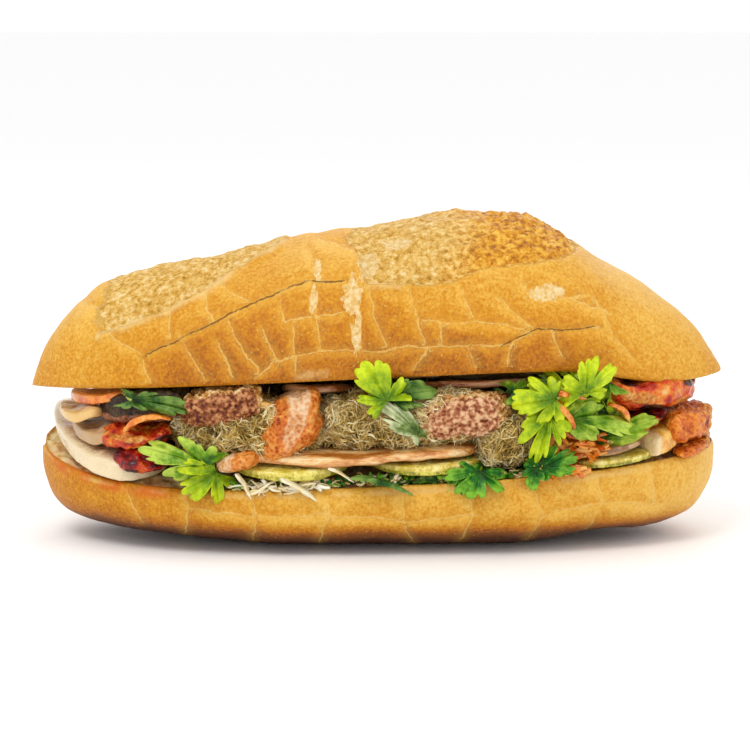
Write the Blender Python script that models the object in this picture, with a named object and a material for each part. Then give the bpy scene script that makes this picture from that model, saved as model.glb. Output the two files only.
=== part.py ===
"""Banh mi: a crusty roll slit along its front, still joined along its back, and stuffed with
sliced meats, pork floss, cucumber, pickles and coriander.

X runs along the roll, -Y is the open side and +Z is up. The roll rests on a flat spot at z = 0.
All sizes are in metres and all angles in degrees.
"""

import math

import bmesh
import bpy
from mathutils import Euler, Matrix, Vector, noise

# Roll
HALF_LENGTH = 0.100
HALF_DEPTH = 0.040
BASE_HALF_LENGTH = 0.0975
BASE_SHIFT = 0.001
BASE_HALF_DEPTH = 0.0395
SIDE_BULGE = 0.0035
LID_LEAN = 12.0
# How square the roll is: its outline in plan, its rim, its crown and its belly
LID_OUTLINE = (2.6, 0.60)
BASE_OUTLINE = (2.8, 0.55)
RIM_SQUARENESS = 0.9
CROWN_FULLNESS = 0.85
BELLY_FULLNESS = 0.72

# Mouth: the slit opens by GAPE at the front, and closes in the crumb at HINGE_Y
GAPE = 0.031
HINGE_Y = 0.034
CLOSING_POWER = 0.85
CLOSED_OVERLAP = 0.6
OPEN_TIP_GAP = 0.021
OPEN_TIP_FROM, OPEN_TIP_TO = 0.050, 0.100
BASE_FACE_HEIGHT = 0.0274
BASE_FACE_SLOPE = 0.18
BASE_FACE_TWIST = -1.2

# Height of the lid's crown above its cut face, along the roll
CROWN = (
    (-1.00, 0.0),
    (-0.95, 0.0128),
    (-0.84, 0.0262),
    (-0.70, 0.0340),
    (-0.42, 0.0396),
    (-0.19, 0.0436),
    (0.16, 0.0508),
    (0.40, 0.0500),
    (0.52, 0.0458),
    (0.64, 0.0362),
    (0.80, 0.0240),
    (0.92, 0.0125),
    (1.00, 0.0),
)
# Height of the belly's lowest line along the roll, flat where the roll rests
BELLY = (
    (-1.00, 0.0220),
    (-0.97, 0.0130),
    (-0.90, 0.0075),
    (-0.75, 0.0040),
    (-0.50, 0.0015),
    (-0.30, 0.0),
    (0.40, 0.0),
    (0.60, 0.0032),
    (0.80, 0.0048),
    (0.92, 0.0090),
    (0.98, 0.0160),
    (1.00, 0.0210),
)
BELLY_SINK = 0.0012

LID_STATIONS, LID_SIDES = 24, 22
BASE_STATIONS, BASE_SIDES = 22, 20

# Pieces keep this far apart. A cut's slivers are welded at WELD, and its faces that lie flat
# within this angle are joined
CLEARANCE = 0.00035
WELD = 0.00002
FLAT_WITHIN = 1.5

# Fillings: how fine their crumbling is, per metre, and how quickly their waves follow each other
CRUMBLE_FINENESS = 160
WAVE_TURNS = 4.5
# How much of a leaf's edge is lobes; the rest is teeth
LOBE_SHARE = 0.72
LOBE_ROUNDNESS = 0.8
AT_CENTRE = 1e-6

COLOURS = {
    "crust": (0.80, 0.50, 0.17),
    "pork_roll": (0.80, 0.64, 0.50),
    "ham": (0.62, 0.40, 0.27),
    "meatloaf": (0.62, 0.37, 0.27),
    "liver": (0.20, 0.15, 0.10),
    "roast": (0.82, 0.45, 0.25),
    "char_siu": (0.42, 0.08, 0.03),
    "floss": (0.55, 0.44, 0.20),
    "cucumber": (0.62, 0.66, 0.25),
    "daikon": (0.85, 0.76, 0.55),
    "carrot": (0.85, 0.33, 0.06),
    "coriander": (0.33, 0.52, 0.08),
    "mint": (0.07, 0.25, 0.06),
}
GLOSSY = ("pork_roll", "ham", "char_siu", "cucumber", "daikon", "carrot")


def clear_scene():
    for obj in list(bpy.data.objects):
        bpy.data.objects.remove(obj)


def smooth_step(value, start, end):
    share = min(1.0, max(0.0, (value - start) / (end - start)))
    return share * share * (3 - 2 * share)


def along(stations, share):
    """The height at a place along the roll, on a smooth curve through the stations."""
    for left, right in zip(stations, stations[1:]):
        if share <= right[0]:
            break
    at = stations.index(left)
    before = stations[max(0, at - 1)]
    after = stations[min(len(stations) - 1, at + 2)]
    width = right[0] - left[0]
    t = min(1.0, max(0.0, (share - left[0]) / width))
    slope_left = (right[1] - before[1]) / (right[0] - before[0]) * width
    slope_right = (after[1] - left[1]) / (after[0] - left[0]) * width
    return (
        (2 * t**3 - 3 * t**2 + 1) * left[1]
        + (t**3 - 2 * t**2 + t) * slope_left
        + (3 * t**2 - 2 * t**3) * right[1]
        + (t**3 - t**2) * slope_right
    )


def base_face(x, y):
    """Height of the lower cut face, which falls towards the front, more so at the left."""
    return BASE_FACE_HEIGHT + (BASE_FACE_SLOPE + BASE_FACE_TWIST * x) * y


def lid_face(x, y):
    """Height of the upper cut face: a wedge above the lower one, wide open at the right tip."""
    depth = (y + HALF_DEPTH) / (HINGE_Y + HALF_DEPTH)
    wedge = GAPE * max(0.0, 1 - depth) ** CLOSING_POWER - CLOSED_OVERLAP * max(0.0, y - HINGE_Y)
    tip = smooth_step(x, OPEN_TIP_FROM, OPEN_TIP_TO)
    return base_face(x, y) + wedge * (1 - tip) + OPEN_TIP_GAP * tip


def lid_half_depth(x):
    squareness, fullness = LID_OUTLINE
    return HALF_DEPTH * max(0.0, 1 - abs(x / HALF_LENGTH) ** squareness) ** fullness


def base_half_depth(x):
    squareness, fullness = BASE_OUTLINE
    share = min(1.0, abs((x - BASE_SHIFT) / BASE_HALF_LENGTH))
    return BASE_HALF_DEPTH * (1 - share**squareness) ** fullness


def mouth(x, behind, up):
    """A point in the mouth: behind the front rim, and up from 0 at the base to 1 at the lid."""
    y = behind - base_half_depth(x)
    low, high = base_face(x, y), lid_face(x, y)
    return Vector((x, y, low + up * (high - low)))


def outside(x, height, off):
    """A place at this height in front of the mouth, off from the line of its rim."""
    return Vector((x, -base_half_depth(x) - off, height))


def power(value, exponent):
    return math.copysign(abs(value) ** exponent, value)


def lid_point(x, turn, grow):
    """The lid's surface at station x. Turn 0 is its front rim, 90 its crown and 180 its back."""
    across = lid_half_depth(x) + grow
    u = -across * power(math.cos(turn), RIM_SQUARENESS)
    y = u * math.cos(math.radians(LID_LEAN))
    z = lid_face(x, y) - grow
    rise = math.sin(turn)
    if rise > 0:
        crown = along(CROWN, x / HALF_LENGTH) + 2 * grow
        height = crown * rise**CROWN_FULLNESS
        bulge = SIDE_BULGE * math.sin(2 * turn) * across / HALF_DEPTH
        y += height * math.sin(math.radians(LID_LEAN)) - bulge
        z += height * math.cos(math.radians(LID_LEAN))
    return Vector((x, y, z))


def base_point(x, turn, grow):
    """The base's surface at station x. Turn 0 is its front rim, 90 its cut face."""
    across = base_half_depth(x) + grow
    y = -across * power(math.cos(turn), RIM_SQUARENESS)
    z = base_face(x, y) + grow
    fall = -math.sin(turn)
    if fall > 0:
        lowest = max(0.0, along(BELLY, (x - BASE_SHIFT) / BASE_HALF_LENGTH))
        bottom = lowest - BELLY_SINK - grow
        bulge = SIDE_BULGE * math.sin(2 * turn) * across / HALF_DEPTH
        y += bulge
        z = max(lowest - grow, z - (z - bottom) * fall**BELLY_FULLNESS)
    return Vector((x, y, z))


def half_roll(name, point, centre, half_length, stations, sides, grow=0.0):
    """A closed half of the roll: a ball with its poles at the tips, moved onto the surface."""
    shape = bmesh.new()
    bmesh.ops.create_uvsphere(
        shape, u_segments=sides, v_segments=stations, radius=1, matrix=Matrix.Rotation(math.pi / 2, 4, "Y")
    )
    for vertex in shape.verts:
        share = max(-1.0, min(1.0, vertex.co.x))
        turn = math.atan2(vertex.co.z, -vertex.co.y)
        vertex.co = point(centre + share * (half_length + grow), turn, grow)
    bmesh.ops.recalc_face_normals(shape, faces=shape.faces)
    return keep(shape, name)


def keep(shape, name):
    """Links a finished shape as an object, its diagonals the same as in the grown copy of it."""
    bmesh.ops.triangulate(shape, faces=shape.faces, quad_method="FIXED")
    mesh = bpy.data.meshes.new(name)
    shape.to_mesh(mesh)
    shape.free()
    obj = bpy.data.objects.new(name, mesh)
    bpy.context.scene.collection.objects.link(obj)
    return obj


def combine(obj, other, operation):
    """Applies a Boolean to the object's own mesh, which stays closed."""
    modifier = obj.modifiers.new(operation.title(), "BOOLEAN")
    modifier.object = other
    modifier.operation = operation
    modifier.solver = "MANIFOLD"
    graph = bpy.context.evaluated_depsgraph_get()
    result = bpy.data.meshes.new_from_object(obj.evaluated_get(graph))
    obj.modifiers.remove(modifier)
    obj.data = result


def islands(shape):
    """The separate closed bodies of a shape, as lists of vertices."""
    left = set(shape.verts)
    found = []
    while left:
        body = [left.pop()]
        for vertex in body:
            for edge in vertex.link_edges:
                other = edge.other_vert(vertex)
                if other in left:
                    left.remove(other)
                    body.append(other)
        found.append(body)
    return found


def spread_of(body):
    """The volume of the box round a list of vertices."""
    sides = [max(v.co[k] for v in body) - min(v.co[k] for v in body) for k in range(3)]
    return sides[0] * sides[1] * sides[2]


def cleaned(raw, weld, flat_within):
    """A copy of a cut mesh with only its largest body, its slivers welded and its flats joined."""
    shape = bmesh.new()
    shape.from_mesh(raw)
    bmesh.ops.remove_doubles(shape, verts=shape.verts, dist=weld)
    bmesh.ops.dissolve_degenerate(shape, dist=weld, edges=shape.edges)
    bodies = sorted(islands(shape), key=spread_of)
    for body in bodies[:-1]:
        bmesh.ops.delete(shape, geom=body, context="VERTS")
    bmesh.ops.dissolve_limit(
        shape, angle_limit=math.radians(flat_within), verts=shape.verts, edges=shape.edges
    )
    bmesh.ops.triangulate(shape, faces=shape.faces)
    bmesh.ops.recalc_face_normals(shape, faces=shape.faces)
    return shape


def clean(obj, flat_within=FLAT_WITHIN):
    """Cleans a cut piece as far as it stays closed."""
    for weld, flat in ((WELD, flat_within), (WELD, 0.0), (WELD / 10, 0.0), (0.0, 0.0)):
        shape = cleaned(obj.data, weld, flat)
        closed = all(edge.is_manifold for edge in shape.edges)
        if closed:
            shape.to_mesh(obj.data)
        shape.free()
        if closed:
            break


# ---------------------------------------------------------------- shapes of the fillings


def pad(
    x, behind, up, plan=0.7, profile=0.5, lean=0.0, turn=0.0, wave=0.0, rough=0.0, sag=0.0,
    segments=10, rings=5,
):
    """A filling in the mouth, from a flat slice to a chunk: x, behind and up are its two ends in
    each direction. Low plan and profile powers square its outline and its edge, lean raises its
    right end, turn swings it in plan, wave ripples it, rough crumbles it and sag hangs its front."""
    middle = Vector([(pair[0] + pair[1]) / 2 for pair in (x, behind, up)])
    half = Vector([(pair[1] - pair[0]) / 2 for pair in (x, behind, up)])
    swing = Matrix.Rotation(math.radians(turn), 2)

    def build(name, grow):
        shape = bmesh.new()
        bmesh.ops.create_uvsphere(shape, u_segments=segments, v_segments=rings, radius=1)
        for vertex in shape.verts:
            way = vertex.co.copy()
            ring = math.hypot(way.x, way.y)
            level = power(way.z, profile)
            reach = ring**profile if ring > AT_CENTRE else 0.0
            angle = math.atan2(way.y, way.x)
            across = Vector((power(math.cos(angle), plan), power(math.sin(angle), plan))) * reach
            flat = swing @ Vector((across.x * (half.x + grow), across.y * (half.y + grow)))
            place = Vector((flat.x, flat.y, level * half.z * GAPE))
            crumb = noise.noise(place * CRUMBLE_FINENESS) * rough
            rise = up_shift(across, lean, wave)
            where = mouth(middle.x + flat.x, middle.y + flat.y, middle.z + level * half.z + rise)
            front = max(0.0, -across.y)
            where.z += level * (grow + crumb) - sag * front**3
            where.y -= crumb * front
            vertex.co = where
        bmesh.ops.recalc_face_normals(shape, faces=shape.faces)
        return keep(shape, name)

    return build


def up_shift(across, lean, wave):
    return lean * across.x + wave * math.sin(across.x * WAVE_TURNS + across.y)


def leaf(at, size, face, lobes=3, teeth=9, depth=0.42, bend=0.25, thickness=0.0011, segments=24):
    """A coriander leaf or sprig: a lobed, toothed blade at a place, facing three turned angles."""
    pose = Matrix.Translation(Vector(at)) @ Euler([math.radians(a) for a in face]).to_matrix().to_4x4()

    def build(name, grow):
        shape = bmesh.new()
        bmesh.ops.create_circle(shape, segments=segments, radius=1, cap_ends=True, cap_tris=True)
        for vertex in shape.verts:
            ring = vertex.co.length
            if ring > 0.5:
                angle = math.atan2(vertex.co.y, vertex.co.x)
                lobe = abs(math.cos(lobes * angle / 2)) ** LOBE_ROUNDNESS
                tooth = 0.5 + 0.5 * math.cos(teeth * angle)
                radius = 1 - depth + depth * (LOBE_SHARE * lobe + (1 - LOBE_SHARE) * tooth)
                vertex.co = Vector((math.cos(angle), math.sin(angle), 0)) * radius
            vertex.co.x *= size[0] + grow
            vertex.co.y *= size[1] + grow
            vertex.co.z = -bend * (vertex.co.x**2 + vertex.co.y**2) / max(size)
        bmesh.ops.solidify(shape, geom=shape.faces[:], thickness=thickness + 2 * grow)
        middle = sum((v.co.z for v in shape.verts)) / len(shape.verts)
        for vertex in shape.verts:
            vertex.co.z -= middle
        shape.transform(pose)
        bmesh.ops.recalc_face_normals(shape, faces=shape.faces)
        return keep(shape, name)

    return build


def strip(start, end, width, thickness, arch=0.0, steps=5, taper=0.6):
    """A sliver or shred between two places: a flat bar that arches up and thins at its ends."""
    start, end = Vector(start), Vector(end)
    facing = (end - start).to_track_quat("X", "Z")
    pose = Matrix.Translation((start + end) / 2) @ facing.to_matrix().to_4x4()
    half_length = (end - start).length / 2

    def build(name, grow):
        shape = bmesh.new()
        bmesh.ops.create_cone(
            shape, cap_ends=True, segments=6, radius1=1, radius2=1, depth=2,
            matrix=Matrix.Rotation(math.pi / 2, 4, "Y"),
        )
        lengthwise = [e for e in shape.edges if abs(e.verts[0].co.x - e.verts[1].co.x) > 1]
        bmesh.ops.subdivide_edges(shape, edges=lengthwise, cuts=steps, use_grid_fill=True)
        for vertex in shape.verts:
            share = vertex.co.x
            slim = 1 - (1 - taper) * share**4
            vertex.co.x = share * (half_length + grow)
            vertex.co.y *= width / 2 * slim + grow
            vertex.co.z = vertex.co.z * (thickness / 2 * slim + grow) + arch * (1 - share**2)
        shape.transform(pose)
        bmesh.ops.recalc_face_normals(shape, faces=shape.faces)
        return keep(shape, name)

    return build


# ---------------------------------------------------------------- fillings, from the front back


def herbs():
    """Coriander and mint: sprigs that hang out of the mouth."""
    return {
        "coriander_left_upper": (
            "coriander",
            leaf(outside(-0.056, 0.0290, 0.0040), (0.0098, 0.0068), (72, 8, -12)),
        ),
        "coriander_left_lower": (
            "coriander",
            leaf(outside(-0.0495, 0.0215, 0.0045), (0.0078, 0.0062), (84, 22, 8)),
        ),
        "mint_left": (
            "mint",
            leaf(outside(-0.0605, 0.0432, 0.0010), (0.0090, 0.0034), (64, 6, -10), depth=0.3),
        ),
        "coriander_middle": (
            "coriander",
            leaf(outside(0.0005, 0.0505, 0.0046), (0.0080, 0.0062), (80, -24, 6)),
        ),
        "coriander_middle_back": (
            "mint",
            leaf(outside(0.0090, 0.0470, 0.0006), (0.0078, 0.0046), (70, 14, -8)),
        ),
        "mint_middle": (
            "mint",
            leaf(outside(0.0075, 0.0405, 0.0026), (0.0082, 0.0040), (66, 28, 4), depth=0.3),
        ),
        "coriander_low_middle": (
            "mint",
            leaf(outside(0.0278, 0.0212, 0.0032), (0.0080, 0.0048), (72, 6, 4)),
        ),
        "coriander_right_upper": (
            "coriander",
            leaf(outside(0.0437, 0.0445, 0.0036), (0.0070, 0.0068), (78, -12, 4)),
        ),
        "coriander_right_lower": (
            "coriander",
            leaf(outside(0.0468, 0.0345, 0.0042), (0.0066, 0.0078), (82, 16, -6)),
        ),
        "coriander_right_top": (
            "coriander",
            leaf(outside(0.0590, 0.0525, 0.0046), (0.0078, 0.0054), (76, -30, 10)),
        ),
        "coriander_right_dark": (
            "mint",
            leaf(outside(0.0628, 0.0385, 0.0024), (0.0098, 0.0058), (68, 12, 12)),
        ),
        "coriander_right_bottom": (
            "mint",
            leaf(outside(0.0518, 0.0285, 0.0030), (0.0064, 0.0044), (70, -6, 8)),
        ),
        "coriander_right_tip": (
            "mint",
            leaf(outside(0.0440, 0.0232, 0.0028), (0.0034, 0.0030), (78, 0, 0)),
        ),
        "lettuce_right": (
            "coriander",
            leaf(outside(0.0725, 0.0362, 0.0018), (0.0098, 0.0036), (62, -14, 8), depth=0.22),
        ),
    }


def slivers():
    """Thin strips: pickled carrot and daikon, spring onion and a curl of pork rind."""
    return {
        "pork_rind_left": (
            "roast",
            strip(
                outside(-0.0700, 0.0350, 0.0012), outside(-0.0572, 0.0390, 0.0022),
                0.0050, 0.0018, arch=0.0022,
            ),
        ),
        "daikon_shred_left": (
            "daikon",
            strip(
                outside(-0.0388, 0.0245, 0.0020), outside(-0.0345, 0.0172, 0.0022),
                0.0034, 0.0020, arch=0.0006,
            ),
        ),
        "daikon_shred_middle": (
            "daikon",
            strip(
                outside(-0.0262, 0.0232, 0.0020), outside(-0.0160, 0.0170, 0.0024),
                0.0030, 0.0020, arch=0.0008,
            ),
        ),
        "daikon_shred_right": (
            "daikon",
            strip(
                outside(-0.0130, 0.0262, 0.0020), outside(-0.0058, 0.0222, 0.0020),
                0.0026, 0.0018, arch=0.0006,
            ),
        ),
        "spring_onion": (
            "mint",
            strip(
                outside(-0.0066, 0.0236, 0.0030), outside(0.0108, 0.0184, 0.0024),
                0.0038, 0.0016, arch=0.0012,
            ),
        ),
        "carrot_sliver_right": (
            "carrot",
            strip(
                outside(0.0490, 0.0450, 0.0012), outside(0.0560, 0.0358, 0.0016),
                0.0036, 0.0018, arch=0.0008,
            ),
        ),
        "carrot_sliver_top": (
            "carrot",
            strip(
                outside(0.0500, 0.0468, 0.0008), outside(0.0590, 0.0446, 0.0008),
                0.0026, 0.0018, arch=0.0004,
            ),
        ),
        "carrot_curl_right": (
            "carrot",
            strip(
                outside(0.0652, 0.0430, 0.0016), outside(0.0712, 0.0372, 0.0018),
                0.0046, 0.0016, arch=0.0014,
            ),
        ),
    }


def meats():
    """Chunks and slabs of roast pork, barbecued pork and meatloaf."""
    return {
        "roast_pork_middle": (
            "roast",
            pad(
                (-0.0325, -0.0165), (-0.003, 0.024), (0.32, 0.86),
                0.6, 0.55, lean=0.12, turn=14, rough=0.0012,
            ),
        ),
        "roast_wedge_left": (
            "roast",
            pad(
                (-0.0440, -0.0310), (-0.004, 0.016), (0.18, 0.36),
                0.8, 0.7, lean=0.05, turn=-18, rough=0.0006,
            ),
        ),
        "meatloaf_right": (
            "meatloaf",
            pad(
                (0.0075, 0.0405), (-0.0025, 0.044), (0.37, 0.83),
                0.55, 0.6, lean=0.03, turn=-4, rough=0.0014,
            ),
        ),
        "meatloaf_left": (
            "meatloaf",
            pad(
                (-0.0580, -0.0330), (-0.002, 0.044), (0.60, 0.97),
                0.5, 0.45, lean=0.05, turn=8, rough=0.0012,
            ),
        ),
        "char_siu_left": (
            "char_siu",
            pad(
                (-0.0790, -0.0580), (-0.003, 0.026), (0.34, 0.60),
                0.7, 0.8, lean=0.04, turn=6, rough=0.0016,
            ),
        ),
        "char_siu_left_low": (
            "char_siu",
            pad((-0.0735, -0.0570), (-0.004, 0.022), (0.14, 0.33), 0.8, 0.8, turn=-8, rough=0.0014),
        ),
        "char_siu_right": (
            "char_siu",
            pad(
                (0.0625, 0.0935), (-0.002, 0.032), (0.62, 0.97),
                0.7, 0.7, turn=-4, wave=0.03, rough=0.0018,
            ),
        ),
        "char_siu_right_low": (
            "char_siu",
            pad((0.0660, 0.0850), (0.000, 0.026), (0.38, 0.60), 0.8, 0.8, lean=0.03, rough=0.0014),
        ),
        "roast_pork_right": (
            "roast",
            pad(
                (0.0825, 0.0970), (-0.004, 0.020), (0.16, 0.56),
                0.5, 0.5, lean=-0.02, turn=6, rough=0.0010,
            ),
        ),
        "roast_scrap_right": (
            "roast",
            pad((0.0850, 0.0975), (-0.005, 0.016), (-0.02, 0.13), 0.7, 0.7, rough=0.0010),
        ),
        "daikon_block_right": (
            "daikon",
            pad((0.0755, 0.0850), (-0.003, 0.016), (0.10, 0.40), 0.4, 0.35, lean=0.06, turn=24),
        ),
        "liver_slab_left": (
            "liver",
            pad(
                (-0.0785, -0.0510), (0.000, 0.044), (0.62, 0.98),
                0.5, 0.4, lean=0.03, turn=-3, rough=0.0006,
            ),
        ),
    }


def slices():
    """Flat slices of cold meat, cucumber, carrot and daikon, which run back through the roll."""
    return {
        "carrot_slice_left": (
            "carrot",
            pad((-0.0880, -0.0680), (0.001, 0.026), (0.80, 0.96), 0.9, 0.4, lean=0.03, wave=0.01),
        ),
        "egg_slice_left": (
            "daikon",
            pad((-0.0915, -0.0770), (-0.001, 0.024), (0.60, 0.73), 0.8, 0.4, lean=0.05, wave=0.02),
        ),
        "ham_slice_left": (
            "ham",
            pad((-0.0885, -0.0690), (0.000, 0.034), (0.34, 0.54), 0.9, 0.4, lean=0.04, wave=0.02),
        ),
        "pork_roll_slice_left": (
            "pork_roll",
            pad((-0.0945, -0.0580), (-0.0015, 0.046), (0.03, 0.29), 1.0, 0.35, lean=-0.06, sag=0.0005),
        ),
        "daikon_slice_middle": (
            "daikon",
            pad((-0.0385, -0.0250), (0.003, 0.034), (0.72, 0.84), 0.8, 0.4, lean=-0.04),
        ),
        "ham_sheet_left": (
            "ham",
            pad((-0.0270, -0.0050), (0.007, 0.058), (0.86, 0.97), 0.7, 0.4, lean=-0.02, wave=0.01),
        ),
        "ham_sheet_right": (
            "ham",
            pad((0.0080, 0.0560), (0.008, 0.058), (0.87, 0.97), 0.6, 0.4, wave=0.01),
        ),
        "liver_slice_right": (
            "liver",
            pad((0.0090, 0.0520), (0.006, 0.054), (0.72, 0.83), 0.6, 0.4, lean=-0.02, wave=0.01),
        ),
        "ham_slice_long": (
            "ham",
            pad((-0.0420, 0.0315), (-0.0015, 0.056), (0.205, 0.335), 0.5, 0.4, lean=-0.015, wave=0.018),
        ),
        "cucumber_slice_left": (
            "cucumber",
            pad((-0.0440, -0.0050), (-0.002, 0.046), (0.095, 0.205), 0.9, 0.3, lean=-0.015),
        ),
        "cucumber_slice_middle": (
            "cucumber",
            pad((-0.0040, 0.0340), (-0.002, 0.046), (0.085, 0.195), 0.9, 0.3, lean=-0.01),
        ),
        "cucumber_right_upper": (
            "cucumber",
            pad((0.0600, 0.0800), (-0.001, 0.030), (0.27, 0.36), 0.9, 0.3, lean=0.06),
        ),
        "ham_strip_right": (
            "ham",
            pad((0.0550, 0.0775), (-0.001, 0.030), (0.16, 0.245), 0.8, 0.4, lean=0.04),
        ),
        "cucumber_right_lower": (
            "cucumber",
            pad((0.0530, 0.0845), (-0.002, 0.038), (0.02, 0.13), 0.9, 0.3, lean=0.02),
        ),
    }


def heaps():
    """Pork floss, shredded carrot and pickles, each heap one piece out to its uneven outline."""
    return {
        "carrot_heap_right": (
            "carrot",
            pad((0.0480, 0.0640), (-0.002, 0.022), (0.12, 0.40), 0.8, 0.8, rough=0.0016),
        ),
        "carrot_bits_right": (
            "carrot",
            pad((0.0420, 0.0600), (-0.003, 0.018), (-0.02, 0.10), 0.8, 0.8, rough=0.0010),
        ),
        "pickle_heap_left": (
            "daikon",
            pad((-0.0400, -0.0120), (-0.002, 0.026), (0.00, 0.075), 0.8, 0.8, rough=0.0010),
        ),
        "herb_heap_middle": (
            "mint",
            pad((0.0000, 0.0390), (-0.001, 0.026), (0.00, 0.060), 0.8, 0.8, rough=0.0010),
        ),
        "coriander_bunch_right": (
            "mint",
            pad((0.0400, 0.0680), (0.002, 0.044), (0.40, 0.94), 0.7, 0.6, rough=0.0018),
        ),
        "floss_right": (
            "floss",
            pad((0.0290, 0.0460), (-0.002, 0.046), (0.08, 0.68), 0.7, 0.7, rough=0.0018),
        ),
        "floss_left": (
            "floss",
            pad((-0.0580, -0.0120), (0.000, 0.056), (0.24, 0.84), 0.5, 0.6, rough=0.0018),
        ),
        "floss_middle": (
            "floss",
            pad((-0.0170, 0.0340), (-0.001, 0.056), (0.30, 0.86), 0.5, 0.6, rough=0.0018),
        ),
    }


# ---------------------------------------------------------------- the whole sandwich


def material(kind):
    found = bpy.data.materials.get(kind)
    if found is None:
        found = bpy.data.materials.new(kind)
        found.use_nodes = True
        shader = found.node_tree.nodes["Principled BSDF"]
        shader.inputs["Base Color"].default_value = (*COLOURS[kind], 1)
        shader.inputs["Roughness"].default_value = 0.35 if kind in GLOSSY else 0.75
        shader.inputs["Metallic"].default_value = 0.0
    return found


def near(first, second):
    """Whether the boxes round two objects meet."""
    boxes = []
    for obj in (first, second):
        places = [v.co for v in obj.data.vertices]
        boxes.append([(min(c[k] for c in places), max(c[k] for c in places)) for k in range(3)])
    return all(a[0] < b[1] and b[0] < a[1] for a, b in zip(*boxes))


def halves(grow=0.0):
    lid = half_roll("lid", lid_point, 0.0, HALF_LENGTH, LID_STATIONS, LID_SIDES, grow)
    base = half_roll("base", base_point, BASE_SHIFT, BASE_HALF_LENGTH, BASE_STATIONS, BASE_SIDES, grow)
    return lid, base


def main():
    clear_scene()
    parts = bpy.data.collections.new("banh_mi")
    cutters = bpy.data.collections.new("banh_mi_cutters")
    bpy.context.scene.collection.children.link(parts)
    bpy.context.scene.collection.children.link(cutters)

    taken = list(halves(CLEARANCE))
    roll, base = halves()
    combine(roll, base, "UNION")
    clean(roll, 0.0)
    roll.name = "bread_roll"
    roll.data.materials.append(material("crust"))
    solids = [roll]
    spare = [base]

    for group in (herbs(), slivers(), meats(), slices(), heaps()):
        for name, (kind, build) in group.items():
            piece = build(name, 0.0)
            for cutter in taken:
                if near(piece, cutter):
                    combine(piece, cutter, "DIFFERENCE")
            clean(piece)
            piece.data.materials.append(material(kind))
            solids.append(piece)
            taken.append(build(name + "_cutter", CLEARANCE))

    for obj in solids:
        parts.objects.link(obj)
        bpy.context.scene.collection.objects.unlink(obj)
    for obj in taken + spare:
        cutters.objects.link(obj)
        bpy.context.scene.collection.objects.unlink(obj)
        obj.display_type = "WIRE"
        obj.hide_render = True


main()
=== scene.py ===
"""The looks of a banh mi: a crackled, scored roll hinged at its back, stuffed with meats, pork
floss, cucumber, pickles and coriander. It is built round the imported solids, in metres."""

import math

import bmesh
import bpy
import numpy as np
from mathutils import Euler, Matrix, Vector


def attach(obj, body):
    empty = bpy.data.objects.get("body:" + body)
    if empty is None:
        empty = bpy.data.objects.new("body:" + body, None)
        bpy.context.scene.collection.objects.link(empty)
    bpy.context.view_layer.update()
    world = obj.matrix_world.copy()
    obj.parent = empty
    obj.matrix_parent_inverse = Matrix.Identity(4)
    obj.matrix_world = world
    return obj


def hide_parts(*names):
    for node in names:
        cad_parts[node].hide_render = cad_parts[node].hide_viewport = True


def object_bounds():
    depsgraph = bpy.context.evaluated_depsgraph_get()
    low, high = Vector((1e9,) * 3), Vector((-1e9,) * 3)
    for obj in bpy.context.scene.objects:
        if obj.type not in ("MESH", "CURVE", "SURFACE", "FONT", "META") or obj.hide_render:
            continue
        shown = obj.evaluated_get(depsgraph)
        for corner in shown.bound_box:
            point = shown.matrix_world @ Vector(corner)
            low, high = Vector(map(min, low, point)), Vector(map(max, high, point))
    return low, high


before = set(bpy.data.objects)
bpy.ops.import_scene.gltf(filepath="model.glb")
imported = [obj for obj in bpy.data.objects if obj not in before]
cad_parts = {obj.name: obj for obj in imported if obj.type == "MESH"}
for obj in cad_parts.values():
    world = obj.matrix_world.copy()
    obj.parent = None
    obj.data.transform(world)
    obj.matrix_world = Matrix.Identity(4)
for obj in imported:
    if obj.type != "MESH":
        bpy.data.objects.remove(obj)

CAD_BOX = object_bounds()

# ---------------------------------------------------------------- the roll's lines, as the solids have them

HALF_LENGTH = (CAD_BOX[1].x - CAD_BOX[0].x) / 2
HALF_DEPTH = 0.040
BASE_HALF_LENGTH = 0.0975
BASE_SHIFT = 0.001
BASE_HALF_DEPTH = 0.0395
SIDE_BULGE = 0.0035
LID_LEAN = math.radians(12.0)
LID_OUTLINE = (2.6, 0.60)
BASE_OUTLINE = (2.8, 0.55)
RIM_SQUARENESS = 0.9
CROWN_FULLNESS = 0.85
BELLY_FULLNESS = 0.72
GAPE = 0.031
HINGE_Y = 0.034
CLOSING_POWER = 0.85
CLOSED_OVERLAP = 0.6
OPEN_TIP_GAP = 0.021
OPEN_TIP_FROM, OPEN_TIP_TO = 0.050, 0.100
BASE_FACE_HEIGHT = 0.0274
BASE_FACE_SLOPE = 0.18
BASE_FACE_TWIST = -1.2
BELLY_SINK = 0.0012
CROWN = (
    (-1.00, 0.0), (-0.95, 0.0128), (-0.84, 0.0262), (-0.70, 0.0340), (-0.42, 0.0396), (-0.19, 0.0436),
    (0.16, 0.0508), (0.40, 0.0500), (0.52, 0.0458), (0.64, 0.0362), (0.80, 0.0240), (0.92, 0.0125),
    (1.00, 0.0),
)
BELLY = (
    (-1.00, 0.0220), (-0.97, 0.0130), (-0.90, 0.0075), (-0.75, 0.0040), (-0.50, 0.0015), (-0.30, 0.0),
    (0.40, 0.0), (0.60, 0.0032), (0.80, 0.0048), (0.92, 0.0090), (0.98, 0.0160), (1.00, 0.0210),
)


def smooth_step(value, start, end):
    share = np.clip((value - start) / (end - start), 0.0, 1.0)
    return share * share * (3 - 2 * share)


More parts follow.
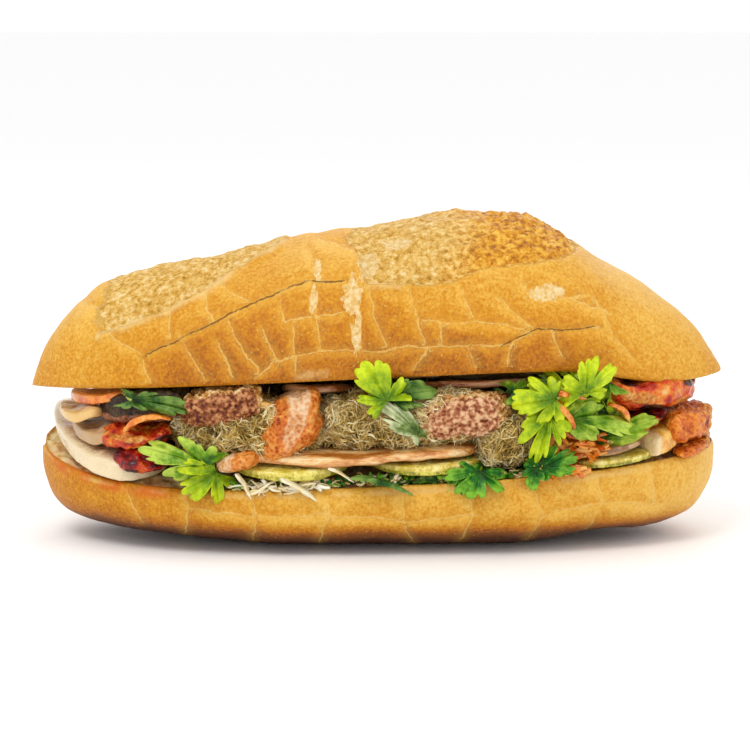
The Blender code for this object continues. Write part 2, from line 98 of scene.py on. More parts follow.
def along(stations, share):
    """Heights along the roll, on a smooth curve through the stations."""
    at, height = np.array(stations).T
    slope = np.empty_like(at)
    slope[1:-1] = (height[2:] - height[:-2]) / (at[2:] - at[:-2])
    slope[0] = (height[1] - height[0]) / (at[1] - at[0])
    slope[-1] = (height[-1] - height[-2]) / (at[-1] - at[-2])
    left = np.clip(np.searchsorted(at, share) - 1, 0, len(at) - 2)
    width = at[left + 1] - at[left]
    t = np.clip((share - at[left]) / width, 0, 1)
    return (
        (2 * t**3 - 3 * t**2 + 1) * height[left]
        + (t**3 - 2 * t**2 + t) * slope[left] * width
        + (3 * t**2 - 2 * t**3) * height[left + 1]
        + (t**3 - t**2) * slope[left + 1] * width
    )


def base_face(x, y):
    return BASE_FACE_HEIGHT + (BASE_FACE_SLOPE + BASE_FACE_TWIST * x) * y


def lid_face(x, y):
    depth = (y + HALF_DEPTH) / (HINGE_Y + HALF_DEPTH)
    wedge = GAPE * np.maximum(0.0, 1 - depth) ** CLOSING_POWER - CLOSED_OVERLAP * np.maximum(0.0, y - HINGE_Y)
    tip = smooth_step(x, OPEN_TIP_FROM, OPEN_TIP_TO)
    return base_face(x, y) + wedge * (1 - tip) + OPEN_TIP_GAP * tip


def lid_half_depth(x):
    return HALF_DEPTH * np.maximum(0.0, 1 - np.abs(x / HALF_LENGTH) ** LID_OUTLINE[0]) ** LID_OUTLINE[1]


def base_half_depth(x):
    share = np.minimum(1.0, np.abs((x - BASE_SHIFT) / BASE_HALF_LENGTH))
    return BASE_HALF_DEPTH * (1 - share ** BASE_OUTLINE[0]) ** BASE_OUTLINE[1]


def mouth(x, behind, up):
    """Places in the mouth: behind the front rim, and up from 0 at the base to 1 at the lid."""
    y = behind - base_half_depth(x)
    low, high = base_face(x, y), lid_face(x, y)
    return np.stack([x, y, low + up * (high - low)], axis=-1)


def outside(x, height, off):
    """A place at this height in front of the mouth, off from the line of its rim."""
    return Vector((x, -float(base_half_depth(x)) - off, height))


def power(value, exponent):
    return np.sign(value) * np.abs(value) ** exponent


def lid_points(x, turn):
    """The lid's skin: turn goes from its front rim over the crown, then back along the cut face."""
    across = lid_half_depth(x)
    u = -across * power(np.cos(turn), RIM_SQUARENESS)
    y = u * math.cos(LID_LEAN)
    z = lid_face(x, y)
    rise = np.maximum(0.0, np.sin(turn))
    height = along(CROWN, x / HALF_LENGTH) * rise**CROWN_FULLNESS
    bulge = SIDE_BULGE * np.sin(2 * turn) * across / HALF_DEPTH * (rise > 0)
    return np.stack([x, y + height * math.sin(LID_LEAN) - bulge, z + height * math.cos(LID_LEAN)], axis=-1)


def base_points(x, turn):
    """The base's skin: turn goes from its front rim under the belly, then back along the cut face."""
    across = base_half_depth(x)
    y = -across * power(np.cos(turn), RIM_SQUARENESS)
    z = base_face(x, y)
    fall = np.maximum(0.0, -np.sin(turn))
    lowest = np.maximum(0.0, along(BELLY, (x - BASE_SHIFT) / BASE_HALF_LENGTH))
    sunk = np.maximum(lowest, z - (z - lowest + BELLY_SINK) * fall**BELLY_FULLNESS)
    bulge = SIDE_BULGE * np.sin(2 * turn) * across / HALF_DEPTH * (fall > 0)
    return np.stack([x, y + bulge, np.where(fall > 0, sunk, z)], axis=-1)


# ---------------------------------------------------------------- noise over arrays of places


def cell_value(cell, seed):
    """A steady random number from 0 to 1 for each whole-numbered cell."""
    mixed = (
        cell[..., 0].astype(np.int64) * 73856093
        ^ cell[..., 1].astype(np.int64) * 19349663
        ^ cell[..., 2].astype(np.int64) * 83492791
        ^ seed * 2654435761
    ) & 0xFFFFFFFF
    mixed = (mixed ^ (mixed >> 15)) * 2246822519 & 0xFFFFFFFF
    mixed = (mixed ^ (mixed >> 13)) * 3266489917 & 0xFFFFFFFF
    return ((mixed ^ (mixed >> 16)) & 0xFFFFFF) / float(0xFFFFFF)


def soft_noise(place, size, seed=0):
    """Smooth noise from -1 to 1 whose lumps are about this size."""
    scaled = place / size
    cell = np.floor(scaled)
    share = scaled - cell
    share = share * share * (3 - 2 * share)
    total = np.zeros(len(place))
    for corner in np.ndindex(2, 2, 2):
        weight = np.prod(np.where(corner, share, 1 - share), axis=-1)
        total += weight * cell_value(cell + corner, seed)
    return total * 2 - 1


def layered_noise(place, size, layers=3, seed=0):
    total, reach = np.zeros(len(place)), 0.0
    for layer in range(layers):
        total += soft_noise(place, size / 2**layer, seed + layer * 17) / 2**layer
        reach += 1 / 2**layer
    return total / reach


def cells(place, size, seed=0):
    """Distances to the nearest and the second nearest of scattered points, in cell sizes."""
    scaled = place / size
    home = np.floor(scaled)
    nearest = np.full(len(place), 9.0)
    second = np.full(len(place), 9.0)
    for step in np.ndindex(3, 3, 3):
        cell = home + step - 1
        spot = cell + np.stack([cell_value(cell, seed + k) for k in (1, 2, 3)], axis=-1)
        distance = np.linalg.norm(spot - scaled, axis=-1)
        second = np.minimum(second, np.maximum(nearest, distance))
        nearest = np.minimum(nearest, distance)
    return nearest, second


# ---------------------------------------------------------------- making and reading meshes


def finish_shape(shape, name):
    bmesh.ops.recalc_face_normals(shape, faces=shape.faces)
    mesh = bpy.data.meshes.new(name)
    shape.to_mesh(mesh)
    shape.free()
    mesh.shade_smooth()
    piece = bpy.data.objects.new(name, mesh)
    bpy.context.scene.collection.objects.link(piece)
    return piece


def places(piece):
    flat = np.empty(len(piece.data.vertices) * 3)
    piece.data.vertices.foreach_get("co", flat)
    return flat.reshape(-1, 3)


def put(piece, co):
    piece.data.vertices.foreach_set("co", co.ravel())
    piece.data.update()


def normals(piece):
    flat = np.empty(len(piece.data.vertices) * 3, dtype=np.float32)
    piece.data.vertex_normals.foreach_get("vector", flat)
    return flat.reshape(-1, 3).astype(float)


def push(piece, amount):
    """Moves each point out along its normal."""
    put(piece, places(piece) + normals(piece) * amount[:, None])


def note(piece, name, values):
    """Keeps one number for each point, for the finish to read."""
    layer = piece.data.attributes.get(name) or piece.data.attributes.new(name, "FLOAT", "POINT")
    layer.data.foreach_set("value", np.asarray(values, dtype=np.float32))


def note_vector(piece, name, values):
    layer = piece.data.attributes.new(name, "FLOAT_VECTOR", "POINT")
    layer.data.foreach_set("vector", np.asarray(values, dtype=np.float32).ravel())


def dress(piece, finish, *nodes):
    """Gives a piece its finish, hangs it under the root, and hides the solids it stands for."""
    piece.data.materials.clear()
    piece.data.materials.append(finish)
    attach(piece, "root")
    if nodes:
        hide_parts(*nodes)


# ---------------------------------------------------------------- finishes

# The studio light brightens a surface this much, and adds this much white gloss.
# No channel of a colour is darker than LEAST.
LIGHT_GAIN = 1.14
LIGHT_HAZE = 0.030
LEAST = 0.003


def rgb(red, green, blue):
    """The surface colour that looks like these everyday 0 to 255 values in the studio light."""
    linear = [((c / 255 + 0.055) / 1.055) ** 2.4 if c > 10 else c / 255 / 12.92 for c in (red, green, blue)]
    return (*(max(LEAST, (value - LIGHT_HAZE) / LIGHT_GAIN) for value in linear), 1.0)


class Finish:
    """A material and the few kinds of node that its pattern is made of."""

    def __init__(self, name, roughness=0.5, **settings):
        self.material = bpy.data.materials.new(name)
        self.material.use_nodes = True
        self.tree = self.material.node_tree
        self.shader = self.tree.nodes["Principled BSDF"]
        self.shader.inputs["Roughness"].default_value = roughness
        for socket, value in settings.items():
            self.shader.inputs[socket.replace("_", " ")].default_value = value
        self.place = self.node("ShaderNodeTexCoord").outputs["Object"]

    def node(self, kind, **settings):
        made = self.tree.nodes.new(kind)
        for name, value in settings.items():
            setattr(made, name, value)
        return made

    def feed(self, socket, value):
        if isinstance(value, bpy.types.NodeSocket):
            self.tree.links.new(value, socket)
        else:
            socket.default_value = value

    def read(self, name):
        return self.node("ShaderNodeAttribute", attribute_name=name).outputs["Fac"]

    def read_vector(self, name):
        return self.node("ShaderNodeAttribute", attribute_name=name).outputs["Vector"]

    def stretched(self, scale):
        made = self.node("ShaderNodeMapping")
        self.feed(made.inputs["Vector"], self.place)
        made.inputs["Scale"].default_value = scale
        return made.outputs["Vector"]

    def noise(self, size, detail=3.0, rough=0.55, place=None):
        made = self.node("ShaderNodeTexNoise")
        self.feed(made.inputs["Vector"], place or self.place)
        made.inputs["Scale"].default_value = 1 / size
        made.inputs["Detail"].default_value = detail
        made.inputs["Roughness"].default_value = rough
        return made.outputs["Fac"]

    def cells(self, size, feature="F1", place=None):
        made = self.node("ShaderNodeTexVoronoi", feature=feature)
        self.feed(made.inputs["Vector"], place or self.place)
        made.inputs["Scale"].default_value = 1 / size
        return made

    def math(self, operation, first, second=0.0, third=0.0):
        made = self.node("ShaderNodeMath", operation=operation)
        for socket, value in zip(made.inputs, (first, second, third)):
            self.feed(socket, value)
        return made.outputs[0]

    def add(self, first, second):
        return self.math("ADD", first, second)

    def less(self, first, second):
        return self.math("SUBTRACT", first, second)

    def times(self, first, second):
        return self.math("MULTIPLY", first, second)

    def rest(self, share):
        """What a share leaves of the whole."""
        return self.math("SUBTRACT", 1.0, share)

    def swing(self, value, amount):
        """A value from 0 to 1 as a swing of this amount about nothing."""
        return self.math("MULTIPLY_ADD", value, amount, -amount / 2)

    def band(self, value, start, end, low=0.0, high=1.0):
        """A smooth step from low to high as the value goes from start to end."""
        made = self.node("ShaderNodeMapRange", interpolation_type="SMOOTHSTEP")
        given = {"Value": value, "From Min": start, "From Max": end, "To Min": low, "To Max": high}
        for name, setting in given.items():
            self.feed(made.inputs[name], setting)
        return made.outputs["Result"]

    def ramp(self, value, *stops):
        """Colours along a value: each stop is its place and the red, green and blue it looks."""
        return self.plain_ramp(value, *((at, rgb(*look)) for at, *look in stops))

    def plain_ramp(self, value, *stops):
        made = self.node("ShaderNodeValToRGB")
        self.feed(made.inputs["Fac"], value)
        points = made.color_ramp.elements
        while len(points) < len(stops):
            points.new(0.5)
        for point, (at, colour) in zip(points, stops):
            point.position = at
            point.color = colour
        return made.outputs["Color"]

    def mix(self, share, first, second, blend="MIX"):
        made = self.node("ShaderNodeMix", data_type="RGBA", blend_type=blend)
        self.feed(made.inputs[0], share)
        self.feed(made.inputs[6], first)
        self.feed(made.inputs[7], second)
        return made.outputs[2]

    def shade(self, colour, share, low, high):
        """The colour times a grey that runs from low to high."""
        grey = self.plain_ramp(share, (0.0, (low, low, low, 1)), (1.0, (high, high, high, 1)))
        return self.mix(1.0, colour, grey, "MULTIPLY")

    def bump(self, height, distance, strength):
        made = self.node("ShaderNodeBump")
        made.inputs["Strength"].default_value = strength
        made.inputs["Distance"].default_value = distance
        self.feed(made.inputs["Height"], height)
        return made.outputs["Normal"]

    def done(self, colour, normal=None, roughness=None):
        self.feed(self.shader.inputs["Base Color"], colour)
        if normal is not None:
            self.feed(self.shader.inputs["Normal"], normal)
        if roughness is not None:
            self.feed(self.shader.inputs["Roughness"], roughness)
        return self.material


def crust_finish():
    """Golden crust with thin pale cracks, rough pale scores, pale torn flakes with a painted wet highlight,
    splits drawn dark as painted shade in their grooves, and crumb.
    """
    f = Finish("baked_crust", roughness=0.42, Specular_IOR_Level=0.24)
    tone = f.read("tone")
    blotch = f.noise(0.022, 4, 0.6)
    fine = f.noise(0.0009, 3, 0.7)
    freckle = f.noise(0.0026, 4, 0.65)
    # the tone read here holds painted light and shade as well as the crust's own browning
    baked = f.add(tone, f.swing(blotch, 0.30))
    baked = f.add(baked, f.swing(freckle, 0.34))
    baked = f.add(baked, f.swing(fine, 0.96))
    colour = f.ramp(
        baked,
        (0.0, 250, 208, 116),
        (0.28, 238, 184, 84),
        (0.52, 218, 150, 52),
        (0.74, 196, 122, 36),
        (1.0, 146, 92, 28),
    )
    # painted contact shade: past the end of the ramp the crust turns a deep brown, mostly along the bottom of
    # the base
    colour = f.mix(f.band(baked, 0.95, 1.55), colour, rgb(104, 68, 18))

    # plates between the cracks: slightly different tones, with a thin pale line where they part
    grid = f.read_vector("crackle_map")
    bent = f.node("ShaderNodeTexNoise")
    f.feed(bent.inputs["Vector"], grid)
    bent.inputs["Scale"].default_value = 0.9
    bent.inputs["Detail"].default_value = 2.0
    wander = f.node("ShaderNodeVectorMath", operation="MULTIPLY_ADD")
    f.feed(wander.inputs[0], bent.outputs["Color"])
    wander.inputs[1].default_value = (0.55, 0.55, 0.55)
    f.feed(wander.inputs[2], grid)
    edge = f.cells(1.0, "DISTANCE_TO_EDGE", wander.outputs[0]).outputs["Distance"]
    plate = f.cells(1.0, "F1", wander.outputs[0]).outputs["Color"]
    open_here = f.band(f.noise(1.5, 2, 0.5, grid), 0.44, 0.60)
    all_over = f.times(f.rest(f.band(edge, 0.004, 0.040)), open_here)
    all_over = f.times(all_over, f.read("crackled"))
    jitter = f.swing(f.noise(0.0016, 3, 0.6), 0.0016)
    aside = f.math("ABSOLUTE", f.add(f.read("crack_side"), jitter))
    close = f.rest(f.band(f.read("crack_near"), 0.0011, 0.0016))
    drawn = f.times(f.rest(f.band(aside, 0.00008, 0.00042)), close)
    drawn = f.times(drawn, f.band(f.noise(0.005, 2), 0.34, 0.50, 0.35, 1.0))
    line = f.math("MAXIMUM", f.times(all_over, 0.55), drawn)
    line = f.times(line, f.read("plain_crust"))
    beside = f.rest(f.band(f.read("crack_near"), 0.0003, 0.0032))
    beside = f.times(beside, f.read("plain_crust"))
    parts = f.node("ShaderNodeSeparateColor")
    f.feed(parts.inputs[0], plate)
    plates = f.shade(colour, parts.outputs[0], 0.89, 1.08)
    colour = f.mix(f.times(f.read("crackled"), 0.6), colour, plates)
    colour = f.mix(f.times(beside, 0.22), colour, rgb(246, 190, 88))
    colour = f.mix(f.times(line, 0.55), colour, rgb(250, 210, 124))
    blister = f.cells(0.0021).outputs["Distance"]
    blister = f.times(f.rest(f.band(blister, 0.04, 0.24)), f.band(freckle, 0.44, 0.54))
    colour = f.mix(f.times(blister, 0.60), colour, rgb(252, 206, 118))

    coarse = f.noise(0.0019, 4, 0.74)
    scored = f.ramp(
        coarse,
        (0.34, 172, 124, 54),
        (0.45, 216, 168, 84),
        (0.54, 238, 196, 114),
        (0.66, 255, 234, 180),
    )
    toasted = f.ramp(coarse, (0.36, 150, 84, 14), (0.49, 226, 152, 34), (0.62, 255, 206, 92))
    scored = f.mix(f.read("toasted"), scored, toasted)
    ragged = f.swing(coarse, 1.0)
    fibres = f.noise(0.0024, 3, 0.65, f.stretched((1.7, 1.7, 0.45)))
    in_score = f.band(f.add(f.read("score"), ragged), 0.30, 0.62)
    colour = f.mix(f.times(in_score, 0.88), colour, scored)
    # pale flakes that run up to near white as a painted wet highlight
    flake = f.noise(0.0013, 3, 0.6)
    flash = f.ramp(flake, (0.3, 214, 166, 88), (0.5, 240, 206, 140), (0.8, 255, 242, 206))
    torn = f.add(f.read("flash"), f.swing(fibres, 1.7))
    torn = f.times(f.band(torn, 0.44, 0.56), f.band(fine, 0.3, 0.5, 0.55, 0.95))
    colour = f.mix(torn, colour, flash)
    # painted shade: each split is drawn as a thin dark line, the shade in the groove where the crust overlaps
    dark = f.math("ABSOLUTE", f.add(f.read("split_side"), f.times(jitter, 0.5)))
    dark = f.rest(f.band(dark, 0.00003, 0.00024))
    dark = f.times(dark, f.times(f.read("split"), f.band(freckle, 0.36, 0.50, 0.45, 1.0)))
    colour = f.mix(dark, colour, rgb(126, 72, 20))
    colour = f.mix(f.read("lip"), colour, rgb(244, 208, 138))

    pore = f.cells(0.0026).outputs["Distance"]
    crumb = f.ramp(pore, (0.05, 196, 144, 68), (0.32, 242, 208, 140), (0.8, 255, 238, 190))
    crumb = f.mix(f.band(f.noise(0.009, 3), 0.4, 0.7, 0.0, 0.35), crumb, rgb(232, 190, 118))
    colour = f.mix(f.read("crumb"), colour, crumb)
    colour = f.mix(f.read("stain"), colour, rgb(216, 108, 24))
    # a wet brown along the rim of the base's crust; on the crumb it is painted shade under the filling
    colour = f.mix(f.read("juice"), colour, rgb(176, 104, 34))

    height = f.add(f.times(fine, 1.0), f.times(freckle, 0.7))
    height = f.add(height, f.times(line, 0.5))
    height = f.add(height, f.times(blister, 0.8))
    height = f.add(height, f.times(f.times(coarse, in_score), 2.6))
    height = f.add(height, f.times(f.times(pore, f.read("crumb")), 2.2))
    height = f.less(height, f.times(dark, 2.0))
    shine = f.band(f.read("gloss"), 0.0, 1.0, 0.50, 0.22)
    rough = f.add(shine, f.times(f.add(f.read("crumb"), in_score), 0.20))
    return f.done(colour, f.bump(height, 0.00034, 0.85), rough)


# ---------------------------------------------------------------- the roll

# Lines of the crust seen from the open side, as millimetres along the roll and up it
LONG_SPLIT = ((-63, 57), (-53, 62), (-36, 70), (-27, 74), (-18, 77), (-9, 77))
SHORT_SPLIT = ((36, 60), (45, 64), (60, 64))
LEFT_SCORE = ((-78, 60), (-60, 68), (-49, 73), (-38, 80), (-26, 85))
RIGHT_SCORE = ((-6, 86), (-4, 81), (-2, 76), (11, 76), (22, 77), (29, 80), (58, 84))
RUNNING_CRACKS = (
    ((-84, 68), (-78, 67), (-74, 61), (-66, 57)),
    ((-33, 51), (-28, 55), (-21, 57), (-12, 59), (1, 58), (9, 60), (38, 60), (45, 64), (62, 64)),
    ((-27, 74), (-25, 66), (-9, 69)),
    ((-16, 87), (-4, 85)),
    ((13, 67), (34, 66), (43, 63)),
    ((42, 76), (45, 72), (58, 73)),
)
FALLING_CRACKS = (
    # where it starts along the roll, its top, its foot, and how far along it drifts on its way down
    (-65, 55, 49, 2),
    (-58, 68, 61, 1),
    (-54, 62, 50, 7),
    (-48, 73, 66, 3),
    (-43, 76, 71, 8),
    (-43, 60, 51, 3),
    (-41, 66, 53, 9),
    (-31, 64, 55, 4),
    (-23, 65, 53, 1),
    (-18, 84, 77, 3),
    (-17, 77, 59, 2),
    (-6, 68, 59, 2),
    (-2, 76, 60, 5),
    (10, 74, 61, 4),
    (15, 60, 54, -4),
    (18, 66, 60, 1),
    (24, 75, 67, 4),
    (26, 60, 54, 2),
    (35, 72, 64, 9),
    (38, 60, 54, -1),
    (49, 64, 57, 3),
    (56, 72, 68, 9),
    (62, 71, 55, 11),
)


def falling_crack(along_it, top, foot, drift):
    """A crack that runs down the crust and drifts more towards its foot."""
    return ((along_it, top), (along_it + 0.4 * drift, (top + foot) / 2), (along_it + drift, foot))


CRACKS = (LONG_SPLIT,) + RUNNING_CRACKS + tuple(falling_crack(*crack) for crack in FALLING_CRACKS)
BASE_CRACKS = (
    ((-72, 22), (-66, 9)),
    ((-55, 24), (-52, 14), (-54, 4)),
    ((-36, 23), (-33, 12), (-35, 3)),
    ((-52, 14), (-33, 12), (-14, 13), (8, 11), (27, 12)),
    ((-14, 22), (-13, 13), (-16, 2)),
    ((8, 22), (8, 11), (11, 2)),
    ((27, 22), (27, 12), (24, 3)),
    ((44, 22), (47, 12), (43, 3)),
    ((47, 12), (64, 15), (80, 13)),
    ((62, 24), (64, 15), (60, 5)),
    ((78, 24), (80, 13)),
)
FLASHES = (
    # pale torn flakes, painted with a wet highlight: along, height, half width, half height, in millimetres
    (-6, 73, 2.5, 5),
    (-5, 63, 1.5, 5),
    (-17, 72, 1, 3.5),
    (-16, 80, 1, 3),
    (-2, 82, 2.5, 3.5),
    (6, 88, 4, 1.5),
    (48, 74, 5, 2),
)


# An angle this close to the rim is on it
RIM_TURN = 1e-4
# The fine crackle: the length of its plates along the roll, and how many there are to a radian round it
PLATE_SIZE = 0.0095
PLATES_ROUND = 2.5
# Stations along a half of the roll lie between crowded towards its ends and evenly spaced
CROWDED_SHARE = 0.45


def half_roll(name, point_of, centre, half_length, stations, sides, crust_share):
    """A closed half of the roll, with more of its sides on the crust than on the cut face."""
    shape = bmesh.new()
    bmesh.ops.create_uvsphere(
        shape, u_segments=sides, v_segments=stations, radius=1, matrix=Matrix.Rotation(math.pi / 2, 4, "Y")
    )
    piece = finish_shape(shape, name)
    co = places(piece)
    share = np.clip(co[:, 0], -1, 1)
    share = CROWDED_SHARE * share + (1 - CROWDED_SHARE) * np.arcsin(share) * 2 / math.pi
    angle = np.arctan2(co[:, 2], -co[:, 1])
    sign = 1 if point_of is lid_points else -1
    crust_angle = (angle * sign) % (2 * math.pi)
    split = crust_share * 2 * math.pi
    on_crust = crust_angle / split * math.pi
    on_cut = math.pi + (crust_angle - split) / (2 * math.pi - split) * math.pi
    turn = np.where(crust_angle <= split, on_crust, on_cut)
    x = centre + share * half_length
    put(piece, point_of(x, turn * sign))
    shape = bmesh.new()
    shape.from_mesh(piece.data)
    bmesh.ops.recalc_face_normals(shape, faces=shape.faces)
    shape.to_mesh(piece.data)
    shape.free()
    return piece, x, turn


def beside_lines(co, lines):
    """Distance of places, seen from the open side, to the nearest line, and on which side it is."""
    seen = co[:, (0, 2)] + np.stack([soft_noise(co, 0.004, 5), soft_noise(co, 0.004, 6)], axis=-1) * 0.0006
    nearest = np.full(len(co), 1.0)
    side = np.zeros(len(co))
    for line in lines:
        for start, end in zip(line, line[1:]):
            start, end = np.array(start) / 1000, np.array(end) / 1000
            way = end - start
            share = np.clip((seen - start) @ way / (way @ way), 0, 1)
            gap = seen - start - share[:, None] * way
            distance = np.hypot(gap[:, 0], gap[:, 1])
            closer = distance < nearest
            nearest = np.where(closer, distance, nearest)
            turned = np.sign(way[0] * gap[:, 1] - way[1] * gap[:, 0])
            side = np.where(closer, turned * distance, side)
    return nearest, side


def above_line(co, line, soft, on_side):
    """How far places are inside the rough patch above a line, from 0 to 1."""
    at, height = np.array(line).T / 1000
    edge = np.interp(co[:, 0], at, height) + layered_noise(co, 0.006, 2, 9) * 0.0009
    inside = smooth_step(co[:, 2] - edge, -soft, soft)
    wander = layered_noise(co, 0.008, 2, 10) * 0.004
    inside *= smooth_step(co[:, 0] + wander, at[0] - 0.004, at[0] + 0.005)
    return inside * (1 - smooth_step(co[:, 0] + wander, at[-1] - 0.005, at[-1] + 0.006)) * on_side


def patches(co, size, seed):
    """Soft-edged patches from 0 to 1."""
    return smooth_step(layered_noise(co, size, 2, seed), -0.35, 0.15)


def note_cracks(piece, co, lines, on_side):
    near, side = (np.where(on_side > 0, values, 1.0) for values in beside_lines(co, lines))
    note(piece, "crack_near", near)
    note(piece, "crack_side", side)
    return near, side


def crust_of(turn):
    """1 on the crust and 0 on the cut face."""
    return ((turn > RIM_TURN) & (turn < math.pi - RIM_TURN)).astype(float)


def crumb_of(co, across, crust):
    """1 on the crumb and 0 on the rim of crust round it, which stands a little proud."""
    behind_rim = np.minimum(np.abs(across - np.abs(co[:, 1])), across) * (1 - crust)
    return (1 - crust) * smooth_step(behind_rim, 0.0009, 0.0020)


def crackle_map(x, turn, aside, layer):
    """Where places lie in the pattern of fine plates, which runs with the skin of the roll."""
    return np.stack([x / PLATE_SIZE + aside, turn * PLATES_ROUND, np.full(len(x), layer)], axis=-1)


def make_lid(finish):
    piece, x, turn = half_roll("bread_lid", lid_points, 0.0, HALF_LENGTH, 320, 290, 0.62)
    co = places(piece)
    crust = crust_of(turn)
    degrees = np.degrees(turn)
    front = crust * (degrees < 112)

    near, side = note_cracks(piece, co, CRACKS, front)
    split_near, split_side = beside_lines(co, (LONG_SPLIT, SHORT_SPLIT))
    split_near = np.where(front > 0, split_near, 1.0)
    left = above_line(co, LEFT_SCORE, 0.0012, front)
    right = above_line(co, RIGHT_SCORE, 0.0012, front)
    over_top = smooth_step(degrees, 98, 116)
    score = np.maximum(left, right) * (1 - over_top)
    toasted = right * smooth_step(x + layered_noise(co, 0.01, 2, 31) * 0.008, 0.014, 0.034)
    lip_near = np.minimum(beside_lines(co, (LEFT_SCORE,))[0], beside_lines(co, (RIGHT_SCORE[1:4],))[0])
    lip = (1 - smooth_step(lip_near, 0.0004, 0.0016)) * front
    # pale torn flakes that carry a painted wet highlight
    flash = np.zeros(len(co))
    for at, height, half_width, half_height in FLASHES:
        reach = np.hypot((co[:, 0] * 1000 - at) / half_width, (co[:, 2] * 1000 - height) / half_height)
        flash = np.maximum(flash, 1 - smooth_step(reach, 0.2, 1.9))
    flash *= front * (co[:, 1] < 0.018)

    # broad lumps of the dough, then the plates, cracks, scores and splits
    push(piece, crust * (layered_noise(co, 0.030, 2, 3) * 0.0011 + layered_noise(co, 0.011, 2, 4) * 0.0004))
    rough = layered_noise(co, 0.0060, 4, 21) * 0.0012 + layered_noise(co, 0.0018, 2, 22) * 0.0004
    beads = 1 - smooth_step(cells(co, 0.0026, 40)[0], 0.15, 0.75)
    relief = crust * layered_noise(co, 0.0024, 2, 6) * 0.00010
    relief += score * (rough - 0.0012) + toasted * beads * 0.0009 * (1 - over_top)
    relief += lip * 0.0009
    plates = front * (1 - score) * smooth_step(near, 0.0, 0.0030)
    relief += plates * 0.00035
    ridge = smooth_step(split_side, -0.0006, 0.0006) * (1 - smooth_step(split_near, 0.001, 0.0065))
    relief += ridge * 0.0007 * front - (1 - smooth_step(split_near, 0.0002, 0.0010)) * 0.0003 - flash * 0.0004
    push(piece, relief)

    crumb = crumb_of(co, lid_half_depth(x), crust)
    pits = 1 - smooth_step(cells(co, 0.0040, 60)[0], 0.2, 0.75)
    push(piece, -crumb * (pits * 0.0010 + 0.0006) + crumb * layered_noise(co, 0.012, 2, 61) * 0.0008)

    # painted light and shade on the crust: lighter higher up and, as a painted sheen, towards both ends; it
    # is also darker towards the back
    height = smooth_step(co[:, 2], 0.046, 0.090)
    tone = 0.66 - 0.33 * height
    tone -= 0.22 * smooth_step(-x, 0.050, 0.085) + 0.26 * smooth_step(x, 0.050, 0.085)
    # painted shade along the lower front band, which faces down below the long split
    at, split_height = np.array(LONG_SPLIT + SHORT_SPLIT).T / 1000
    under = np.interp(x, at, split_height) - co[:, 2]
    under_split = smooth_step(under, 0.0, 0.0012) * (1 - 0.7 * smooth_step(under, 0.010, 0.024))
    tone += 0.13 * under_split * smooth_step(x, -0.070, -0.050) * (1 - smooth_step(x, 0.046, 0.066)) * front
    tone += 0.10 * np.sign(side) * (1 - smooth_step(near, 0.0004, 0.0042)) * front
    # painted shade low on the middle of the front
    tone += 0.08 * np.exp(-((x / 0.060) ** 2)) * (1 - smooth_step(co[:, 2], 0.052, 0.066))
    tone += 0.10 * smooth_step(co[:, 1], 0.0, 0.040)
    note(piece, "tone", tone)
    note(piece, "score", score)
    note(piece, "toasted", toasted)
    # the split lines carry painted shade in their grooves
    note(piece, "split_side", split_side)
    note(piece, "split", front * (1 - smooth_step(split_near, 0.0008, 0.0014)) * 0.8)
    sliced = smooth_step(x, -0.0225, -0.0215) * (1 - smooth_step(x, -0.0140, -0.0120)) * front
    sliced *= (1 - smooth_step(co[:, 2], 0.0526, 0.0540)) * patches(co, 0.0022, 72)
    note(piece, "lip", np.maximum(lip * 0.70 * patches(co, 0.006, 70), sliced * 0.42))
    note(piece, "flash", flash)
    note(piece, "crumb", crumb)
    note(piece, "plain_crust", crust * (1 - score) * (1 - flash))
    note(piece, "crackled", crust * smooth_step(degrees, 92, 120))
    sheen = np.exp(-(((x - 0.050) / 0.012) ** 2) - (((co[:, 2] - 0.0745) / 0.0048) ** 2))
    buttered = 0.45 * smooth_step(x, 0.0, 0.03) * smooth_step(co[:, 2], 0.064, 0.07)
    note(piece, "gloss", sheen * front + 0.35 * right + buttered)
    for name in ("stain", "juice"):
        note(piece, name, np.zeros(len(co)))
    note_vector(piece, "crackle_map", crackle_map(x, turn, 0, 0))
    dress(piece, finish, "bread_roll")


